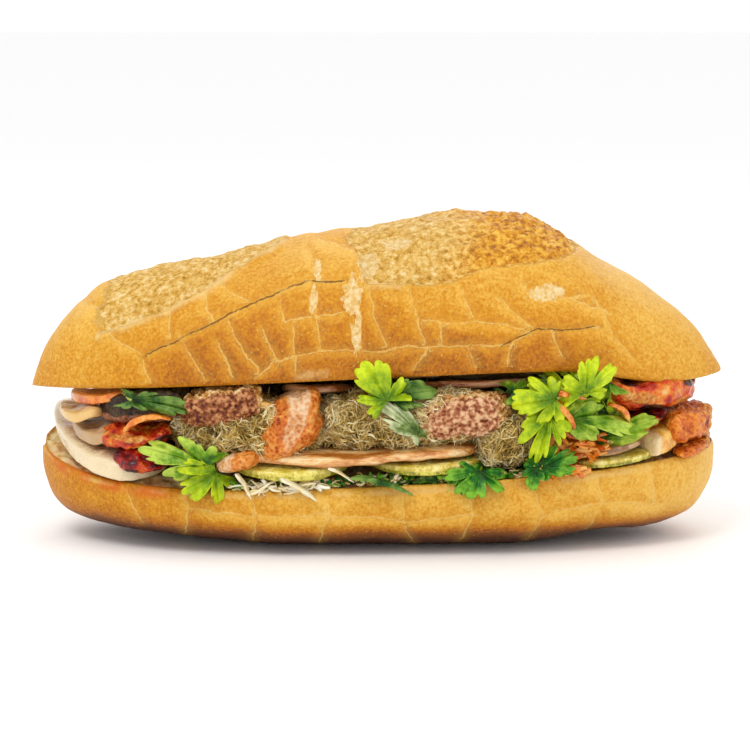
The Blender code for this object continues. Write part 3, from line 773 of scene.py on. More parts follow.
def make_base(finish):
    piece, x, turn = half_roll("bread_base", base_points, BASE_SHIFT, BASE_HALF_LENGTH, 270, 224, 0.56)
    co = places(piece)
    crust = crust_of(turn)
    front = crust * (co[:, 1] < 0)
    above_rest = smooth_step(co[:, 2], 0.0004, 0.004)
    near, side = note_cracks(piece, co, BASE_CRACKS, front)
    lumps = layered_noise(co, 0.026, 2, 103) * 0.0011 + layered_noise(co, 0.010, 2, 104) * 0.0004
    lumps += front * smooth_step(near, 0.0, 0.0030) * 0.0003
    push(piece, crust * lumps * above_rest)
    crumb = crumb_of(co, base_half_depth(x), crust)
    pits = 1 - smooth_step(cells(co, 0.0040, 160)[0], 0.2, 0.75)
    grain = layered_noise(co, 0.0024, 2, 6) * 0.0001
    push(piece, crust * above_rest * grain - crumb * (pits * 0.0010 + 0.0004))

    # painted contact shade: the crust is painted far darker towards its bottom, where it meets the floor; it
    # is also darker towards its left end and lighter towards its right
    tone = 1.74 - 0.40 * smooth_step(co[:, 2], 0.001, 0.014) - smooth_step(co[:, 2], 0.001, 0.011)
    tone += 0.24 * smooth_step(-x, 0.020, 0.075) - 0.08 * smooth_step(x, 0.040, 0.080)
    tone += 0.10 * np.sign(side) * (1 - smooth_step(near, 0.0004, 0.0050)) * front
    tone += 0.10 * layered_noise(co, 0.014, 2, 105)
    note(piece, "tone", tone)
    for name in ("score", "toasted", "split"):
        note(piece, name, np.zeros(len(co)))
    note(piece, "split_side", np.ones(len(co)))
    from_rim = turn * HALF_DEPTH
    rim = crust * (1 - smooth_step(from_rim, 0.0005, 0.0022))
    note(piece, "lip", rim * 0.6 * patches(co, 0.005, 71))
    dab = np.exp(-(((x - 0.0300) / 0.005) ** 2)) * 0.5
    note(piece, "flash", crust * (1 - smooth_step(from_rim, 0.001, 0.006)) * dab)
    note(piece, "crumb", crumb)
    note(piece, "plain_crust", crust)
    note(piece, "crackled", crust * (1 - front))
    note(piece, "gloss", 0.3 * smooth_step(x, 0.0, 0.06))
    near_rim = (1 - smooth_step(from_rim, 0.0015, 0.0050)) * crust + (1 - crust)
    drips = smooth_step(layered_noise(co, 0.005, 3, 80), -0.5, 0.2)
    # painted shade: the crumb under the filling and the lid gets brown patches, like sauce soaking it, and is
    # left clear at the lit left end
    soaked = crumb * smooth_step(layered_noise(co, 0.009, 3, 82), -0.6, 0.3) * 0.55
    soaked *= smooth_step(x, -0.070, -0.050)
    left_end = smooth_step(-x, 0.052, 0.064) * (1 - smooth_step(-x, 0.090, 0.096))
    note(piece, "stain", near_rim * left_end * drips * (co[:, 1] < 0) * (1 - 0.60 * crumb) * 0.85)
    wet = smooth_step(layered_noise(co, 0.007, 3, 81), -0.2, 0.4)
    wet *= smooth_step(-np.abs(x - 0.03), -0.05, -0.02)
    wet *= (1 - smooth_step(from_rim, 0.0004, 0.0026)) * (co[:, 1] < 0) * crust * 0.5
    note(piece, "juice", np.maximum(wet, soaked))
    note_vector(piece, "crackle_map", crackle_map(x, turn, 40, 3))
    dress(piece, finish, "bread_roll")


def make_roll():
    finish = crust_finish()
    make_lid(finish)
    make_base(finish)


# ---------------------------------------------------------------- finishes of the filling


def crumbly_finish(name, inner, edge, roughness=0.5):
    """Coarse minced or torn meat: one set of tones inside and another towards the edges each piece marks;
    raised crumbs and lumps are painted lighter and the hollows darker, as painted light and shade.
    """
    f = Finish(name, roughness=roughness, Specular_IOR_Level=0.35, Coat_Weight=0.08, Coat_Roughness=0.2)
    lump = f.noise(0.0026, 5, 0.75)
    grain = f.cells(0.0011).outputs["Distance"]
    value = f.add(f.times(lump, 0.95), f.math("MULTIPLY_ADD", grain, 0.34, -0.09))
    # painted light and shade: the higher a point stands, the lighter it is drawn
    value = f.add(value, f.swing(f.read("high"), 0.22))
    browned = f.add(f.read("edge"), f.swing(lump, 1.5))
    colour = f.mix(f.band(browned, 0.35, 0.65), f.ramp(value, *inner), f.ramp(value, *edge))
    height = f.add(f.times(lump, 1.4), grain)
    return f.done(colour, f.bump(height, 0.0007, 0.9))


def glazed_finish(name, deep=0.0):
    """Red roast pork under a wet glaze, amber where it is cut and black where it has caught."""
    f = Finish(name, roughness=0.34, Specular_IOR_Level=0.20, Coat_Weight=0.38, Coat_Roughness=0.05)
    lump = f.noise(0.0042, 4, 0.6)
    fine = f.noise(0.0012, 3, 0.6)
    value = f.less(lump, deep)
    red = f.ramp(
        value,
        (0.30, 90, 18, 8),
        (0.41, 176, 42, 10),
        (0.50, 224, 84, 22),
        (0.60, 248, 142, 56),
        (0.74, 255, 210, 136),
    )
    amber = f.ramp(fine, (0.3, 196, 96, 34), (0.5, 232, 150, 66), (0.75, 252, 208, 130))
    cut = f.add(f.read("cut"), f.swing(lump, 1.4))
    colour = f.mix(f.band(cut, 0.15, 0.85), red, amber)
    char = f.add(f.read("char"), f.swing(lump, 0.9))
    colour = f.mix(f.times(f.band(char, 0.50, 0.70), 0.92), colour, rgb(64, 20, 8))
    height = f.add(f.times(lump, 2.0), f.times(fine, 1.6))
    return f.done(colour, f.bump(height, 0.0009, 0.9))


def slice_finish(name, *stops, edge, roughness=0.35, coat=0.2, fibre=(1, 1, 1), size=0.004, pores=0.0):
    """Sliced meat or vegetable: tones along its fibres, with another tone at its rim."""
    f = Finish(name, roughness=roughness, Coat_Weight=coat, Coat_Roughness=0.12)
    where = f.stretched(fibre)
    grain = f.noise(size, 4, 0.6, where)
    fine = f.noise(size / 6, 2, 0.6, where)
    value = f.add(f.times(grain, 0.75), f.times(fine, 0.25))
    colour = f.ramp(f.band(value, 0.32, 0.68, 0.15, 0.9), *stops)
    if pores:
        hole = f.rest(f.band(f.cells(pores).outputs["Distance"], 0.06, 0.20))
        colour = f.mix(f.times(hole, 0.45), colour, rgb(150, 104, 72))
    colour = f.mix(f.times(f.read("edge"), 0.9), colour, edge)
    height = f.add(f.times(grain, 1.5), fine)
    return f.done(colour, f.bump(height, 0.0005, 0.6))


def gourd_finish(name, flesh, skin, dull):
    """Cucumber: pale wet flesh above, a green skin along the rim, duller towards its ends."""
    f = Finish(name, roughness=0.28, Coat_Weight=0.35, Coat_Roughness=0.1)
    grain = f.noise(0.0026, 4, 0.6)
    fine = f.noise(0.0007, 3, 0.6)
    value = f.add(f.times(grain, 0.6), f.times(fine, 0.4))
    value = f.band(value, 0.34, 0.66, 0.15, 0.85)
    colour = f.ramp(value, *flesh)
    under = f.ramp(value, *skin)
    low = f.add(f.read("edge"), f.swing(fine, 0.7))
    colour = f.mix(f.band(low, 0.30, 0.70), colour, under)
    colour = f.mix(f.times(f.read("dull"), 0.75), colour, dull)
    return f.done(colour, f.bump(f.add(grain, fine), 0.0004, 0.6))


def leaf_finish(name, dark, middle, light):
    """A leaf: darker by its stem, lighter at its tips and along its veins."""
    f = Finish(name, roughness=0.40, Specular_IOR_Level=0.22, Coat_Weight=0.05, Coat_Roughness=0.15)
    grain = f.noise(0.0030, 4, 0.65)
    value = f.add(f.read("tip"), f.swing(grain, 1.8))
    value = f.add(value, f.read("tint"))
    colour = f.plain_ramp(value, (0.05, dark), (0.45, middle), (0.95, light))
    colour = f.mix(f.times(f.read("vein"), 0.22), colour, light)
    height = f.less(f.times(grain, 0.5), f.times(f.read("vein"), 1.0))
    return f.done(colour, f.bump(height, 0.0005, 0.8))


def strand_finish(name, *stops, roughness=0.5, size=0.003, coat=0.0):
    """Strands and shreds, each with its own tint."""
    f = Finish(name, roughness=roughness, Coat_Weight=coat, Coat_Roughness=0.15)
    grain = f.noise(size, 3, 0.6)
    value = f.add(f.times(grain, 0.6), f.times(f.read("tint"), 0.5))
    return f.done(f.ramp(value, *stops), f.bump(f.noise(0.0008, 2), 0.0003, 0.5))


def make_finishes():
    made = {}
    made["mince"] = crumbly_finish(
        "minced_pork",
        ((0.32, 122, 66, 40), (0.43, 164, 98, 66), (0.53, 206, 138, 98), (0.68, 248, 200, 154)),
        ((0.28, 134, 80, 36), (0.42, 196, 134, 70), (0.54, 232, 172, 100), (0.72, 255, 222, 160)),
    )
    made["dark_mince"] = crumbly_finish(
        "browned_minced_pork",
        ((0.32, 94, 50, 26), (0.43, 128, 72, 42), (0.53, 164, 98, 62), (0.68, 220, 156, 108)),
        ((0.30, 142, 84, 36), (0.43, 206, 142, 76), (0.55, 240, 182, 108), (0.72, 255, 226, 166)),
    )
    made["slab"] = crumbly_finish(
        "dark_liver",
        ((0.30, 96, 58, 40), (0.46, 138, 88, 64), (0.66, 184, 128, 96)),
        ((0.30, 30, 20, 8), (0.46, 58, 42, 18), (0.70, 100, 78, 44)),
    )
    made["roast"] = crumbly_finish(
        "roast_pork",
        ((0.30, 206, 124, 72), (0.44, 232, 160, 104), (0.56, 248, 196, 146), (0.74, 255, 226, 188)),
        ((0.30, 160, 66, 20), (0.44, 208, 106, 38), (0.58, 236, 140, 62), (0.76, 250, 184, 104)),
        0.34,
    )
    made["orange_roast"] = crumbly_finish(
        "spiced_roast_pork",
        ((0.30, 150, 66, 20), (0.45, 214, 104, 24), (0.60, 242, 134, 38), (0.78, 254, 178, 84)),
        ((0.30, 120, 44, 18), (0.45, 186, 82, 30), (0.60, 232, 140, 56), (0.78, 254, 200, 104)),
        0.38,
    )
    made["glazed"] = glazed_finish("glazed_pork", -0.03)
    made["dark_glazed"] = glazed_finish("dark_glazed_pork", 0.10)
    made["pork_roll"] = slice_finish(
        "steamed_pork_roll", (0.3, 200, 154, 118), (0.5, 226, 188, 148), (0.72, 244, 216, 176),
        roughness=0.25, coat=0.35, edge=rgb(248, 228, 186), pores=0.0030,
    )
    made["ham"] = slice_finish(
        "ham", (0.28, 188, 116, 58), (0.44, 226, 156, 92), (0.58, 242, 184, 114), (0.76, 255, 222, 162),
        fibre=(0.35, 1, 1.6), coat=0.5, size=0.005, roughness=0.24, edge=rgb(184, 122, 72),
    )
    made["pale_ham"] = slice_finish(
        "pale_ham", (0.28, 150, 106, 72), (0.48, 192, 144, 106), (0.7, 228, 190, 150),
        fibre=(0.5, 1, 1.5), coat=0.3, size=0.005, edge=rgb(208, 170, 122),
    )
    made["dark_ham"] = slice_finish(
        "shaded_ham", (0.28, 150, 86, 52), (0.5, 196, 128, 84), (0.75, 230, 176, 128),
        fibre=(0.35, 1, 1.6), coat=0.2, size=0.005, edge=rgb(70, 34, 16),
    )
    made["liver"] = slice_finish(
        "liver_slice", (0.3, 96, 50, 28), (0.5, 140, 82, 46), (0.75, 190, 124, 76),
        fibre=(0.5, 1, 1.5), coat=0.15, edge=rgb(60, 28, 14),
    )
    made["egg"] = slice_finish(
        "fried_egg", (0.3, 222, 174, 104), (0.5, 240, 206, 142), (0.75, 252, 236, 196),
        coat=0.4, fibre=(0.5, 1, 1), edge=rgb(240, 196, 120),
    )
    made["carrot"] = slice_finish(
        "pickled_carrot", (0.28, 216, 104, 22), (0.46, 234, 124, 28), (0.62, 248, 150, 50),
        (0.82, 254, 186, 96), roughness=0.22, coat=0.5, edge=rgb(236, 140, 52),
    )
    made["daikon"] = slice_finish(
        "pickled_daikon", (0.28, 206, 168, 100), (0.48, 232, 202, 142), (0.7, 250, 232, 190),
        roughness=0.22, coat=0.45, edge=rgb(244, 190, 96),
    )
    made["amber_daikon"] = slice_finish(
        "amber_daikon", (0.28, 228, 148, 40), (0.5, 246, 182, 72), (0.75, 255, 212, 116),
        roughness=0.2, coat=0.5, edge=rgb(252, 226, 176),
    )
    made["cucumber"] = gourd_finish(
        "cucumber",
        ((0.3, 212, 192, 72), (0.5, 238, 220, 102), (0.7, 252, 240, 146)),
        ((0.3, 150, 142, 30), (0.48, 200, 188, 62), (0.68, 230, 218, 104)),
        rgb(138, 122, 48),
    )
    made["green_cucumber"] = gourd_finish(
        "cucumber_by_its_skin",
        ((0.3, 206, 180, 66), (0.48, 234, 210, 98), (0.7, 252, 238, 152)),
        ((0.3, 128, 130, 26), (0.48, 184, 176, 50), (0.7, 224, 212, 92)),
        rgb(158, 132, 48),
    )
    for kind, name, dark, middle, light in (
        ("lime_leaf", "coriander_leaf", (92, 132, 8), (152, 182, 12), (216, 234, 58)),
        ("green_leaf", "coriander_leaf_green", (46, 90, 14), (112, 156, 32), (200, 224, 96)),
        # the dark leaf serves dark leaves such as mint and also leaves in the shade
        ("dark_leaf", "dark_and_shaded_leaf", (30, 58, 24), (62, 98, 40), (132, 162, 82)),
        ("bright_leaf", "parsley_leaf", (18, 66, 10), (52, 116, 16), (140, 196, 70)),
        ("silver_leaf", "leaf_back", (70, 96, 46), (124, 146, 80), (220, 226, 180)),
        ("lettuce", "lettuce_leaf", (76, 116, 24), (122, 160, 34), (188, 208, 84)),
    ):
        made[kind] = leaf_finish(name, rgb(*dark), rgb(*middle), rgb(*light))
    made["floss"] = strand_finish(
        "pork_floss", (0.22, 128, 98, 28), (0.38, 206, 170, 84), (0.52, 242, 212, 136),
        (0.78, 255, 242, 196), roughness=0.62,
    )
    # its darkest end is the painted shade in the floss's hollows
    made["floss_core"] = strand_finish(
        "packed_floss", (0.22, 54, 38, 8), (0.40, 134, 102, 34), (0.56, 222, 184, 100),
        (0.78, 250, 224, 158), roughness=0.7, size=0.0022,
    )
    made["carrot_shred"] = strand_finish(
        "shredded_carrot", (0.22, 206, 84, 14), (0.42, 236, 122, 34), (0.60, 250, 160, 66),
        (0.85, 252, 190, 108), roughness=0.26, coat=0.4,
    )
    made["daikon_shred"] = strand_finish(
        "shredded_daikon", (0.22, 212, 180, 104), (0.42, 242, 220, 158), (0.60, 255, 242, 204),
        (0.85, 255, 252, 232), roughness=0.26, coat=0.4,
    )
    made["stem"] = strand_finish(
        "herb_stem", (0.22, 84, 118, 30), (0.5, 134, 166, 52), (0.85, 196, 212, 110), roughness=0.35,
    )
    return made


# ---------------------------------------------------------------- blocks and slices


def block(name, x, behind, up, plan, profile, lean=0.0, turn=0.0, wave=0.0, sag=0.0, cuts=44):
    """A rounded block lying in the mouth, where each of its points is in it, and how near its rim."""
    shape = bmesh.new()
    bmesh.ops.create_cube(shape, size=2)
    bmesh.ops.subdivide_edges(shape, edges=shape.edges[:], cuts=cuts, use_grid_fill=True)
    piece = finish_shape(shape, name)
    way = places(piece)
    flat = (np.abs(way[:, 0]) ** (2 / plan) + np.abs(way[:, 1]) ** (2 / plan)) ** (plan / 2)
    reach = (flat ** (2 / profile) + np.abs(way[:, 2]) ** (2 / profile)) ** (-profile / 2)
    unit = way * reach[:, None]
    half = [(high - low) / 2 for low, high in (x, behind, up)]
    middle = [(high + low) / 2 for low, high in (x, behind, up)]
    angle = math.radians(turn)
    far_x, far_y = unit[:, 0] * half[0], unit[:, 1] * half[1]
    shift_x = far_x * math.cos(angle) - far_y * math.sin(angle)
    shift_y = far_x * math.sin(angle) + far_y * math.cos(angle)
    level = middle[2] + unit[:, 2] * half[2] + lean * unit[:, 0]
    level += wave * np.sin(unit[:, 0] * 4.5 + unit[:, 1])
    co = mouth(middle[0] + shift_x, middle[1] + shift_y, level)
    co[:, 2] -= sag * np.maximum(0, -unit[:, 1]) ** 3
    put(piece, co)
    return piece, unit, flat * reach


def lumps(piece, co, *layers, seed=0):
    """Pushes a piece in and out by layers of noise and keeps how high each point ends up."""
    total = np.zeros(len(co))
    for number, (size, amount) in enumerate(layers):
        total += layered_noise(co, size, 3, seed + number * 7) * amount
    push(piece, total)
    most = max(np.abs(total).max(), 1e-9)
    note(piece, "high", 0.5 + 0.5 * total / most)
    return total


MINCED = (
    # node, noise seed, fineness, finish
    ("meatloaf_right", 71, 82, "mince"),
    ("meatloaf_left", 72, 74, "dark_mince"),
)
BLOCKS = {
    # along, behind the rim, up the mouth, then how round it is in plan and in profile
    "roast_pork_middle": ((-0.0325, -0.0165), (-0.003, 0.024), (0.32, 0.86), 0.6, 0.55),
    "roast_wedge_left": ((-0.0440, -0.0310), (-0.004, 0.016), (0.18, 0.36), 0.8, 0.7),
    "meatloaf_right": ((0.0075, 0.0405), (-0.0025, 0.044), (0.37, 0.83), 0.55, 0.6),
    "meatloaf_left": ((-0.0580, -0.0330), (-0.002, 0.044), (0.60, 0.97), 0.5, 0.45),
    "char_siu_left": ((-0.0790, -0.0580), (-0.003, 0.026), (0.34, 0.60), 0.7, 0.8),
    "char_siu_left_low": ((-0.0735, -0.0570), (-0.004, 0.022), (0.14, 0.33), 0.8, 0.8),
    "char_siu_right": ((0.0625, 0.0935), (-0.002, 0.032), (0.62, 1.03), 0.7, 0.7),
    "char_siu_right_low": ((0.0660, 0.0850), (0.0, 0.026), (0.38, 0.60), 0.8, 0.8),
    "roast_pork_right": ((0.0825, 0.0970), (-0.004, 0.020), (0.16, 0.56), 0.5, 0.5),
    "roast_scrap_right": ((0.0850, 0.0975), (-0.005, 0.016), (-0.02, 0.13), 0.7, 0.7),
    "daikon_block_right": ((0.0755, 0.0850), (-0.003, 0.016), (0.10, 0.40), 0.4, 0.35),
    "liver_slab_left": ((-0.0785, -0.0510), (0.0, 0.044), (0.62, 0.98), 0.5, 0.4),
    "carrot_slice_left": ((-0.0880, -0.0680), (0.001, 0.026), (0.80, 0.96), 0.9, 0.4),
    "egg_slice_left": ((-0.0915, -0.0770), (-0.001, 0.024), (0.60, 0.73), 0.8, 0.4),
    "ham_slice_left": ((-0.0885, -0.0690), (0.0, 0.034), (0.34, 0.54), 0.9, 0.4),
    "pork_roll_slice_left": ((-0.0950, -0.0580), (-0.0028, 0.046), (0.03, 0.29), 1.0, 0.35),
    "daikon_slice_middle": ((-0.0385, -0.0250), (0.003, 0.034), (0.72, 0.84), 0.8, 0.4),
    "ham_sheet_left": ((-0.0270, -0.0050), (0.007, 0.058), (0.86, 0.97), 0.7, 0.4),
    "ham_sheet_right": ((0.0080, 0.0560), (0.008, 0.058), (0.87, 0.97), 0.6, 0.4),
    "liver_slice_right": ((0.0090, 0.0520), (0.006, 0.054), (0.72, 0.83), 0.6, 0.4),
    "ham_slice_long": ((-0.0420, 0.0315), (-0.0015, 0.056), (0.205, 0.335), 0.5, 0.4),
    "cucumber_slice_left": ((-0.0440, -0.0050), (-0.002, 0.046), (0.095, 0.210), 0.9, 0.3),
    "cucumber_slice_middle": ((-0.0040, 0.0340), (-0.002, 0.046), (0.085, 0.200), 0.9, 0.3),
    "cucumber_right_upper": ((0.0600, 0.0800), (-0.001, 0.030), (0.27, 0.36), 0.9, 0.3),
    "ham_strip_right": ((0.0550, 0.0775), (-0.001, 0.030), (0.16, 0.245), 0.8, 0.4),
    "cucumber_right_lower": ((0.0530, 0.0845), (-0.002, 0.038), (0.02, 0.13), 0.9, 0.3),
}
BENDS = {
    # lean and wave are shares of the mouth's height, turn is in degrees and sag in metres
    "roast_pork_middle": {"lean": 0.12, "turn": 14},
    "roast_wedge_left": {"lean": 0.05, "turn": -18},
    "meatloaf_right": {"lean": 0.03, "turn": -4},
    "meatloaf_left": {"lean": 0.05, "turn": 8},
    "char_siu_left": {"lean": 0.04, "turn": 6},
    "char_siu_left_low": {"turn": -8},
    "char_siu_right": {"turn": -4, "wave": 0.03},
    "char_siu_right_low": {"lean": 0.03},
    "roast_pork_right": {"lean": -0.02, "turn": 6},
    "daikon_block_right": {"lean": 0.06, "turn": 24},
    "liver_slab_left": {"lean": 0.03, "turn": -3},
    "carrot_slice_left": {"lean": 0.03, "wave": 0.01},
    "egg_slice_left": {"lean": 0.05, "wave": 0.02},
    "ham_slice_left": {"lean": 0.04, "wave": 0.02},
    "pork_roll_slice_left": {"lean": -0.06, "sag": 0.0005},
    "daikon_slice_middle": {"lean": -0.04},
    "ham_sheet_left": {"lean": -0.02, "wave": 0.01},
    "ham_sheet_right": {"wave": 0.01},
    "liver_slice_right": {"lean": -0.02, "wave": 0.01},
    "ham_slice_long": {"lean": -0.015, "wave": 0.018},
    "cucumber_slice_left": {"lean": -0.015},
    "cucumber_slice_middle": {"lean": -0.01},
    "cucumber_right_upper": {"lean": 0.06},
    "ham_strip_right": {"lean": 0.04},
    "cucumber_right_lower": {"lean": 0.02},
}


def block_for(node, cuts):
    return block(node + "_food", *BLOCKS[node], **BENDS.get(node, {}), cuts=cuts)


def make_mince(finishes):
    for node, seed, cuts, finish in MINCED:
        piece, unit, _ = block_for(node, cuts)
        co = places(piece)
        crumbs = 1 - smooth_step(cells(co, 0.0016, seed)[0], 0.05, 0.80)
        push(piece, crumbs * 0.0008 - 0.0004)
        lumps(piece, co, (0.0090, 0.0011), (0.0022, 0.0007), seed=seed)
        # here the crumbs, not the lumps, are what stands high
        note(piece, "high", np.clip(crumbs, 0, 1))
        top = smooth_step(unit[:, 2], 0.45, 0.9)
        right = smooth_step(unit[:, 0], 0.55, 0.92)
        note(piece, "edge", np.maximum(top * 0.75, right))
        dress(piece, finishes[finish], node)

    piece, unit, _ = block_for("liver_slab_left", 52)
    co = places(piece)
    lumps(piece, co, (0.0080, 0.0009), (0.0016, 0.0005), seed=75)
    # darker along its underside
    note(piece, "edge", smooth_step(unit[:, 2] + layered_noise(co, 0.006, 2, 76) * 0.3, -0.62, -0.30))
    dress(piece, finishes["slab"], "liver_slab_left")


def make_roasts(finishes):
    piece, unit, _ = block_for("roast_pork_middle", 54)
    co = places(piece)
    lumps(piece, co, (0.0085, 0.0024), (0.0030, 0.0007), (0.0012, 0.0002), seed=81)
    streak = np.abs(unit[:, 0] + 0.15 - unit[:, 2] * 0.35)
    rind = smooth_step(streak, 0.05, 0.75) + smooth_step(-unit[:, 2], 0.05, 0.7) * 0.6
    note(piece, "edge", np.clip(rind, 0, 1))
    dress(piece, finishes["roast"], "roast_pork_middle")

    piece, unit, _ = block_for("roast_wedge_left", 40)
    co = places(piece)
    lumps(piece, co, (0.0050, 0.0008), (0.0018, 0.0003), seed=82)
    note(piece, "edge", smooth_step(unit[:, 0], -0.35, 0.55))
    dress(piece, finishes["roast"], "roast_wedge_left")

    for node, seed, grain in (("roast_pork_right", 83, 0.0007), ("roast_scrap_right", 84, 0.0005)):
        piece, unit, _ = block_for(node, 46)
        co = places(piece)
        torn = 1 - smooth_step(cells(co, 0.0028, seed)[0], 0.1, 0.8)
        push(piece, torn * grain - grain / 2)
        lumps(piece, co, (0.0060, 0.0010), (0.0018, 0.0004), seed=seed)
        note(piece, "edge", smooth_step(unit[:, 0], 0.3, 0.9))
        dress(piece, finishes["orange_roast"], node)


GLAZED = (
    # node, finish, noise seed, then where it has caught and where it is cut open: across, level, size
    (
        "char_siu_left", "glazed", 91,
        ((0.72, -0.1, 0.26), (0.30, -0.9, 0.30), (-0.45, -0.8, 0.2)),
        ((-0.10, 0.25, 0.36), (-0.55, 0.4, 0.2)),
    ),
    ("char_siu_left_low", "dark_glazed", 92, ((-0.2, -0.5, 0.30), (0.7, 0.2, 0.24)), ()),
    (
        "char_siu_right", "glazed", 93,
        ((-0.90, 0.0, 0.22), (0.10, -0.8, 0.34), (0.85, 0.55, 0.22), (-0.35, 0.75, 0.20)),
        ((-0.15, -0.05, 0.36), (0.80, -0.65, 0.26)),
    ),
    ("char_siu_right_low", "dark_glazed", 94, ((0.2, 0.6, 0.3),), ((-0.5, 0.0, 0.3), (0.6, -0.2, 0.3))),
)


def make_glazed(finishes):
    for node, finish, seed, caught, opened in GLAZED:
        piece, unit, _ = block_for(node, 50)
        co = places(piece)
        lumps(piece, co, (0.0070, 0.0024), (0.0026, 0.0008), (0.0012, 0.0002), seed=seed)
        for name, spots in (("char", caught), ("cut", opened)):
            mark = np.zeros(len(co))
            for across, level, size in spots:
                far = np.hypot(unit[:, 0] - across, (unit[:, 2] - level) * 0.8)
                mark = np.maximum(mark, 1 - smooth_step(far, size * 0.4, size * 1.4))
            note(piece, name, mark)
        dress(piece, finishes[finish], node)


SLICES = (
    # node, finish, fineness, how its rim shows
    ("carrot_slice_left", "carrot", 36, "top"),
    ("egg_slice_left", "egg", 44, "rim"),
    ("ham_slice_left", "pale_ham", 40, "rim"),
    ("pork_roll_slice_left", "pork_roll", 54, "rim"),
    ("daikon_slice_middle", "daikon", 44, "rim"),
    ("ham_sheet_left", "dark_ham", 34, "low"),
    ("ham_sheet_right", "dark_ham", 38, "low"),
    ("liver_slice_right", "liver", 34, "low"),
    ("ham_slice_long", "ham", 60, "low"),
    ("ham_strip_right", "pale_ham", 40, "low"),
    ("cucumber_slice_left", "cucumber", 46, "skin"),
    ("cucumber_slice_middle", "green_cucumber", 46, "skin"),
    ("cucumber_right_upper", "green_cucumber", 44, "skin"),
    ("cucumber_right_lower", "green_cucumber", 46, "skin"),
    ("daikon_block_right", "amber_daikon", 44, "left"),
)


def make_slices(finishes):
    for seed, (node, finish, cuts, rim_kind) in enumerate(SLICES):
        piece, unit, rim = block_for(node, cuts)
        co = places(piece)
        lumps(piece, co, (0.0110, 0.0006), (0.0040, 0.0003), (0.0018, 0.00012), seed=200 + seed * 5)
        edge = {
            "top": smooth_step(unit[:, 2], 0.0, 0.9),
            "rim": smooth_step(rim, 0.80, 0.97),
            "low": smooth_step(-unit[:, 2], 0.0, 0.9),
            "skin": smooth_step(-unit[:, 2], -0.5, 0.5) * smooth_step(rim, 0.90, 0.99),
            "left": smooth_step(-unit[:, 0], 0.5, 0.8),
        }[rim_kind]
        note(piece, "edge", edge)
        note(piece, "dull", smooth_step(np.abs(unit[:, 0]), 0.62, 0.98))
        dress(piece, finishes[finish], node)


# ---------------------------------------------------------------- strands, shreds and floss


def many(name, template, co, tints=None):
    """One mesh made of a template repeated, given the points of every copy."""
    count, points = co.shape[:2]
    corners = np.empty(len(template.loops), dtype=np.int32)
    template.loops.foreach_get("vertex_index", corners)
    starts = np.empty(len(template.polygons), dtype=np.int32)
    template.polygons.foreach_get("loop_start", starts)
    steps = np.arange(count)[:, None]
    mesh = bpy.data.meshes.new(name)
    mesh.vertices.add(count * points)
    mesh.loops.add(count * len(corners))
    mesh.polygons.add(count * len(starts))
    mesh.vertices.foreach_set("co", co.ravel())
    mesh.loops.foreach_set("vertex_index", (corners + steps * points).ravel().astype(np.int32))
    mesh.polygons.foreach_set("loop_start", (starts + steps * len(corners)).ravel().astype(np.int32))
    mesh.update(calc_edges=True)
    mesh.shade_smooth()
    piece = bpy.data.objects.new(name, mesh)
    bpy.context.scene.collection.objects.link(piece)
    if tints is not None:
        note(piece, "tint", np.repeat(tints, points))
    return piece


def grid_template(name, along_it, across_it):
    shape = bmesh.new()
    bmesh.ops.create_grid(shape, x_segments=along_it, y_segments=across_it, size=0.5)
    template = bpy.data.meshes.new(name)
    shape.to_mesh(template)
    shape.free()
    flat = np.empty(len(template.vertices) * 3)
    template.vertices.foreach_get("co", flat)
    return template, flat.reshape(-1, 3)


def across_of(ways, draw):
    """Two directions square to each way and to each other."""
    other = draw.normal(size=ways.shape)
    first = np.cross(ways, other)
    first /= np.linalg.norm(first, axis=1)[:, None]
    return first, np.cross(ways, first)


def strand_points(grid, middles, ways, lengths, widths, thick, curl, draw, taper=0.7, twist=1.0):
    """The points of thin curling strands, each round its own middle and along its own way."""
    ways = ways / np.linalg.norm(ways, axis=1)[:, None]
    first, second = across_of(ways, draw)
    share = grid[None, :, 0]
    around = (grid[None, :, 1] + 0.5) * 2 * math.pi
    phase, other_phase = draw.uniform(0, 2 * math.pi, (2, len(middles), 1))
    slim = 1 - taper * np.abs(2 * share) ** 3
    bend = np.sin(share * twist * 2 * math.pi + phase) * curl * lengths[:, None]
    lift = np.sin(share * twist * 1.4 * math.pi + other_phase) * curl * 0.7 * lengths[:, None]
    a = bend + slim * np.cos(around) * widths[:, None] / 2
    b = lift + slim * np.sin(around) * thick[:, None] / 2
    return (
        middles[:, None, :]
        + ways[:, None, :] * (share * lengths[:, None])[..., None]
        + first[:, None, :] * a[..., None]
        + second[:, None, :] * b[..., None]
    )


HEAPS = {
    # along, behind the rim, up the mouth, then how round it is in plan and in profile
    "carrot_heap_right": ((0.0480, 0.0640), (-0.002, 0.022), (0.12, 0.40), 0.8, 0.8),
    "carrot_bits_right": ((0.0420, 0.0600), (-0.003, 0.018), (-0.02, 0.10), 0.8, 0.8),
    "pickle_heap_left": ((-0.0400, -0.0120), (-0.002, 0.026), (0.0, 0.075), 0.8, 0.8),
    "herb_heap_middle": ((0.0000, 0.0390), (-0.001, 0.026), (0.0, 0.060), 0.8, 0.8),
    "coriander_bunch_right": ((0.0400, 0.0680), (0.002, 0.044), (0.40, 0.94), 0.7, 0.6),
    "floss_right": ((0.0290, 0.0460), (-0.002, 0.046), (0.08, 0.68), 0.7, 0.7),
    "floss_left": ((-0.0580, -0.0120), (0.0, 0.056), (0.24, 0.84), 0.5, 0.6),
    "floss_middle": ((-0.0170, 0.0340), (-0.001, 0.056), (0.30, 0.86), 0.5, 0.6),
}


def shrunk(low, high, share):
    return low + (high - low) * share, high - (high - low) * share


